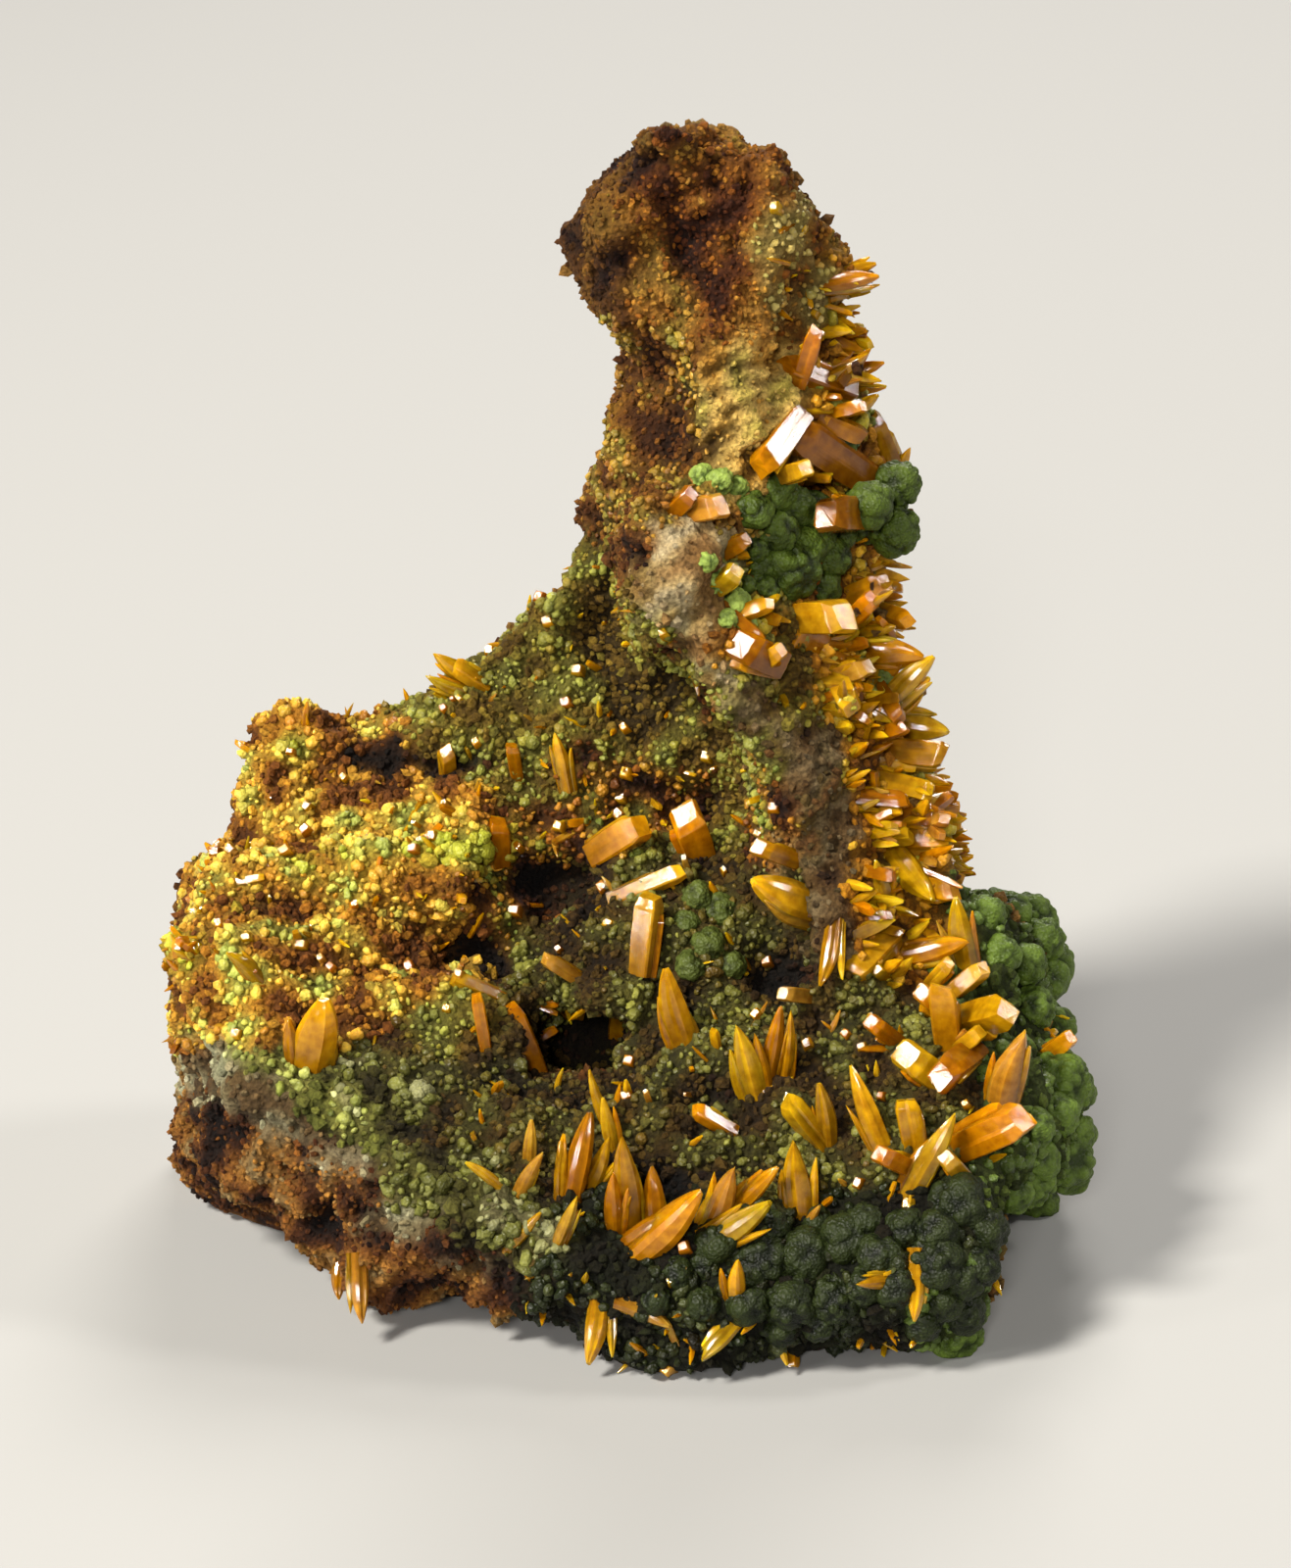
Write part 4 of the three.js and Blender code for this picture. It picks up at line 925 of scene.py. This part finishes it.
def crystal_form(habit, length, width, thickness, rings, slant, end=None, flat=False):
    """Points, faces, places along the crystal and colour streaks of a crystal that stands on the origin."""
    section = SECTION[habit] if rings == RINGS else SECTION[habit][::2]
    sides = len(section)
    bend = rng.uniform(-0.06, 0.06) * BEND[habit]
    jitter = rng.uniform(*UNEVENNESS, (sides, 2))
    if flat:
        jitter[:, 1] = 1
    tip = rng.uniform(*TIP_WIDTH)
    slant = rng.uniform(-slant, slant, 2)
    if end is not None:
        slant = end
    aside = rng.uniform(-ASIDE, ASIDE) * width if habit == BLADE else 0
    thickness = min(thickness * THICKER[habit], width)
    points = []
    share = np.linspace(0, 1, rings) ** CROWDING[habit]
    for t in share:
        across, through = outline_at(habit, t, tip)
        shift = bend * length * t * t + aside * max(0, (t - SHOULDER) / (1 - SHOULDER)) ** 2
        for (x, z), (jx, jz) in zip(section, jitter):
            x, z = x * jx * across * width / 2, z * jz * through * thickness / 2
            step = x * slant[0] + z * slant[1] + (jx - 1) * END_ROUGHNESS * width
            points.append((x + shift, t * length + step * t * t, z))
    faces = []
    for ring in range(rings - 1):
        for side in range(sides):
            a = ring * sides + side
            b = ring * sides + (side + 1) % sides
            faces += [(a, b, b + sides), (a, b + sides, a + sides)]
    last = (rings - 1) * sides
    for side in range(1, sides - 1):
        faces.append((last, last + side, last + side + 1))
        faces.append((0, side + 1, side))
    streaks = np.tile(rng.uniform(*STREAKS, sides), rings)
    return np.array(points), np.array(faces), np.repeat(share, sides), streaks


HONEY = [linear(code) for code in (0xECAE12, 0xE49E0A, 0xF4C424, 0xD88E08, 0xECB418)]
ROOT_BROWN = linear(0xA86204)
BUFF = linear(0xB08A44)
YELLOW_GREEN = linear(0xB8A410)
BUFF_BELOW, YELLOW_GREEN_BELOW = 0.08, 0.2
STREAKS = (0.72, 1.15)
DEPTH_OF_COLOUR = (0.55, 1.05)
SHADE = {BLADE: np.ones(3), BLOCK: np.array([0.88, 0.78, 0.6])}


def crystal_colours(habit, along, streaks):
    tip = HONEY[rng.integers(len(HONEY))] * rng.uniform(*DEPTH_OF_COLOUR) * SHADE[habit]
    chance = rng.uniform()
    if chance < BUFF_BELOW:
        tip = tip * 0.5 + BUFF * 0.5
    elif chance < YELLOW_GREEN_BELOW:
        tip = tip * 0.5 + YELLOW_GREEN * 0.5
    root = tip * 0.25 + ROOT_BROWN * 0.35
    return (root + (tip - root) * (along**1.3)[:, None]) * streaks[:, None]


# The lamps, and the cosines between a crystal's axis and halfway() at which a side or an end can catch one.
KEY = Vector((-1.3, -1.0, 1.75))
FRONT = Vector((-0.3, -2.2, 1.1))
SIDE = Vector((1.6, 0.2, 1.2))
LEFT = Vector((-1.9, -1.03, 0.43))
FACE_REACH = {BLADE: (-0.06, 0.24), BLOCK: (-0.12, 0.12)}
BEST_REACH = {BLADE: 0.07, BLOCK: 0}
END_REACH = math.cos(math.radians(34))


def halfway(place, lamp):
    """The way a face looks that throws a lamp's light to the eye."""
    return ((lamp - place).normalized() + (EYE - place).normalized()).normalized()


def place_crystal(root, tip, width, thickness, turn, habit, rings=RINGS, slant=SLANT, lit=False):
    """A crystal from root to tip. A lit one has a face, or the end of a block, turned to catch a lamp."""
    axis = tip - root
    length = axis.length + ROOTING * MM
    axis.normalize()
    across = axis.cross(root - EYE).normalized()
    end = None
    flat = False
    if lit:
        ways = [halfway(tip, lamp) for lamp in (KEY, FRONT, SIDE, LEFT)]
        lowest, highest = FACE_REACH[habit]
        faced = [way for way in ways if lowest < way.dot(axis) < highest]
        ended = [way for way in ways if way.dot(axis) > END_REACH]
        if faced:
            best = min(faced, key=lambda way: abs(way.dot(axis) - BEST_REACH[habit]))
            across = best.cross(axis).normalized()
            turn = 0
            flat = True
    unturned = Matrix((across, axis, across.cross(axis))).transposed()
    basis = unturned @ Matrix.Rotation(math.radians(turn), 3, "Y")
    if lit and habit == BLOCK and ended:
        local = basis.transposed() @ ended[0]
        end = (-local.x / local.y, -local.z / local.y)
    points, faces, along, streaks = crystal_form(
        habit, length, width * MM, thickness * MM, rings, slant, end, flat)
    base = root - axis * (ROOTING * MM)
    placed = points @ np.array(basis).T + np.array(base)
    return placed, faces, crystal_colours(habit, along, streaks), points / MM + rng.uniform(-50, 50, 3)


COMPANIONS = {BLADE: 2, BLOCK: 1}
SMALLEST_WITH_COMPANIONS = 1.7


def listed_crystals(rows):
    """The crystals of the rows, the larger ones with smaller ones grown against them."""
    grown = []
    for tip_u, tip_v, root_u, root_v, nearer, width, thickness, habit, *turn in rows:
        turn = sum(turn)
        root = strike(root_u, root_v)
        tip = at_depth(tip_u, tip_v, depth_of(root) - nearer * MM)
        grown.append(place_crystal(root, tip, width, thickness, turn, habit, lit=True))
        if width < SMALLEST_WITH_COMPANIONS:
            continue
        side = (tip - root).cross(root - EYE).normalized()
        for _ in range(COMPANIONS[habit]):
            apart = side * (rng.choice((-1, 1)) * rng.uniform(0.26, 0.46) * width * MM)
            end = root + apart * rng.uniform(0.8, 1.5) + (tip - root) * rng.uniform(0.5, 0.85)
            grown.append(place_crystal(
                root + apart, end, width * rng.uniform(0.35, 0.6), thickness * rng.uniform(0.5, 0.85),
                turn + rng.uniform(-20, 20), habit))
    return grown


def add_crystals(name, crystals, nodes=()):
    sizes = np.cumsum([0] + [len(points) for points, *_ in crystals])
    points = np.vstack([c[0] for c in crystals])
    faces = np.vstack([c[1] + shift for c, shift in zip(crystals, sizes)])
    tint = np.vstack([c[2] for c in crystals])
    grain = np.vstack([c[3] for c in crystals])
    piece = add_mesh(name, points, faces, WULFENITE_GLOSS, tint=tint, grain=grain, sharp=24)
    if nodes:
        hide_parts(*nodes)


for group, rows in WULFENITE.items():
    nodes = [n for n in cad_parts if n.rsplit("_", 1)[0] == f"wulfenite_{group}"]
    add_crystals(f"wulfenite_{group}", listed_crystals(rows), nodes)
add_crystals("wulfenite_flank", listed_crystals(FLANK_WULFENITE))
add_crystals("wulfenite_lesser", listed_crystals(LESSER_WULFENITE))

# Tiny crystals strewn over the zones: how many, their lowest and highest length in mm, and how many short
# prisms whose flat ends catch the key lamp.
STREWN = {"shelf": (70, 1.0, 2.2, 22), "lime": (25, 1.0, 2.5, 10), "wall": (60, 0.9, 2.0, 14),
          "band": (24, 1.0, 2.2, 8), "floor": (55, 1.0, 2.4, 18), "rim": (30, 1.0, 2.4, 6),
          "lobes": (12, 1.2, 2.6, 0), "flank": (230, 2.0, 4.2, 16), "pale_head": (10, 1.2, 2.4, 3)}
STREWN_SHARE = 0.6
LUMP_MARGIN = 1.15
SLENDERNESS = (0.3, 0.55)
BLADE_SHARE = 0.75
FLASH_WIDTH, FLASH_LENGTH = (0.9, 1.5), (0.8, 1.4)
FLANK_LEAN = Vector((0.8, 0, 0))
FLAT_END = 0.05


def strewn_crystals():
    kept = [(u, v, radius * LUMP_MARGIN) for balls in MIMETITE.values() for u, v, radius, *_ in balls]
    for rows in WULFENITE.values():
        for tip_u, tip_v, root_u, root_v, _, width, *_ in rows:
            kept += [(tip_u + (root_u - tip_u) * t, tip_v + (root_v - tip_v) * t, width * 0.7)
                     for t in np.linspace(0, 1, 5)]
    places = on_plane(fine_points)
    clear = np.ones(len(places), bool)
    for u, v, reach in kept:
        clear &= np.hypot(places[:, 0] - u, places[:, 1] - v) > reach
    crystals = []
    for name, (count, shortest, longest, flashing) in STREWN.items():
        here = np.flatnonzero((rock_shares[:, ZONE_INDEX[name]] > STREWN_SHARE) & clear)
        for i in rng.choice(here, min(count, len(here)), replace=False):
            length = rng.uniform(shortest, longest)
            width = length * rng.uniform(*SLENDERNESS)
            lean = Vector(rng.normal(size=3)) * 0.5
            if name == "flank":
                lean += FLANK_LEAN
            root = Vector(fine_points[i])
            away = (Vector(rock_normals[i]) + lean).normalized()
            habit = BLADE if rng.uniform() < BLADE_SHARE else BLOCK
            crystals.append(place_crystal(
                root, root + away * length * MM, width, width * rng.uniform(0.5, 0.9), rng.uniform(0, 180),
                habit, FEW_RINGS, lit=i % 2 == 0))
        for i in rng.choice(here, min(flashing, len(here)), replace=False):
            root = Vector(fine_points[i])
            width = rng.uniform(*FLASH_WIDTH)
            crystals.append(place_crystal(
                root, root + halfway(root, KEY) * rng.uniform(*FLASH_LENGTH) * MM, width,
                width * rng.uniform(0.6, 1), rng.uniform(0, 180), BLOCK, FEW_RINGS, FLAT_END))
    return crystals


add_crystals("wulfenite_needles", strewn_crystals())


# ---- Stage, light and camera ----
def add_light(name, place, size, power, colour):
    light = bpy.data.lights.new(name, "AREA")
    light.shape = "DISK"
    light.size = size
    light.energy = power
    light.color = colour
    lamp = in_scene(name, light)
    lamp.location = place
    aim = Vector((0, 0, PLANE_HEIGHT)) - lamp.location
    lamp.rotation_euler = aim.to_track_quat("-Z", "Y").to_euler()


def add_floor():
    mesh = bpy.data.meshes.new("floor")
    reach, level = 3.0, -0.1 * MM
    corners = [(-reach, -reach, level), (reach, -reach, level), (reach, reach, level), (-reach, reach, level)]
    mesh.from_pydata(corners, [], [(0, 1, 2, 3)])
    material, _, shader = new_material("floor")
    shader.inputs["Base Color"].default_value = (0.36, 0.36, 0.355, 1)
    shader.inputs["Roughness"].default_value = 0.8
    mesh.materials.append(material)
    floor = in_scene("floor", mesh)


def add_camera():
    camera = in_scene("camera", bpy.data.cameras.new("camera"))
    camera.location = EYE
    aim = Vector((0, 0, PLANE_HEIGHT)) - EYE
    camera.rotation_euler = aim.to_track_quat("-Z", "Y").to_euler()
    camera.data.sensor_width = SENSOR
    camera.data.lens = SENSOR * FOCAL_PIXELS / FRAME_HEIGHT
    camera.data.clip_start = 0.01
    bpy.context.scene.camera = camera


world = bpy.data.worlds.new("studio")
bpy.context.scene.world = world
world.use_nodes = True
world.node_tree.nodes["Background"].inputs["Color"].default_value = (1, 0.97, 0.92, 1)
world.node_tree.nodes["Background"].inputs["Strength"].default_value = 0.08
add_light("key", KEY, 0.5, 96, (1, 0.95, 0.86))
add_light("front", FRONT, 0.4, 30, (1, 0.97, 0.92))
add_light("left", LEFT, 0.35, 15, (1, 0.97, 0.93))
add_light("side", SIDE, 0.35, 16, (1, 0.96, 0.9))
add_light("back", (0.2, 1.7, 1.5), 0.9, 34, (1, 0.96, 0.9))
bpy.context.scene.view_settings.view_transform = "Standard"
add_floor()
add_camera()
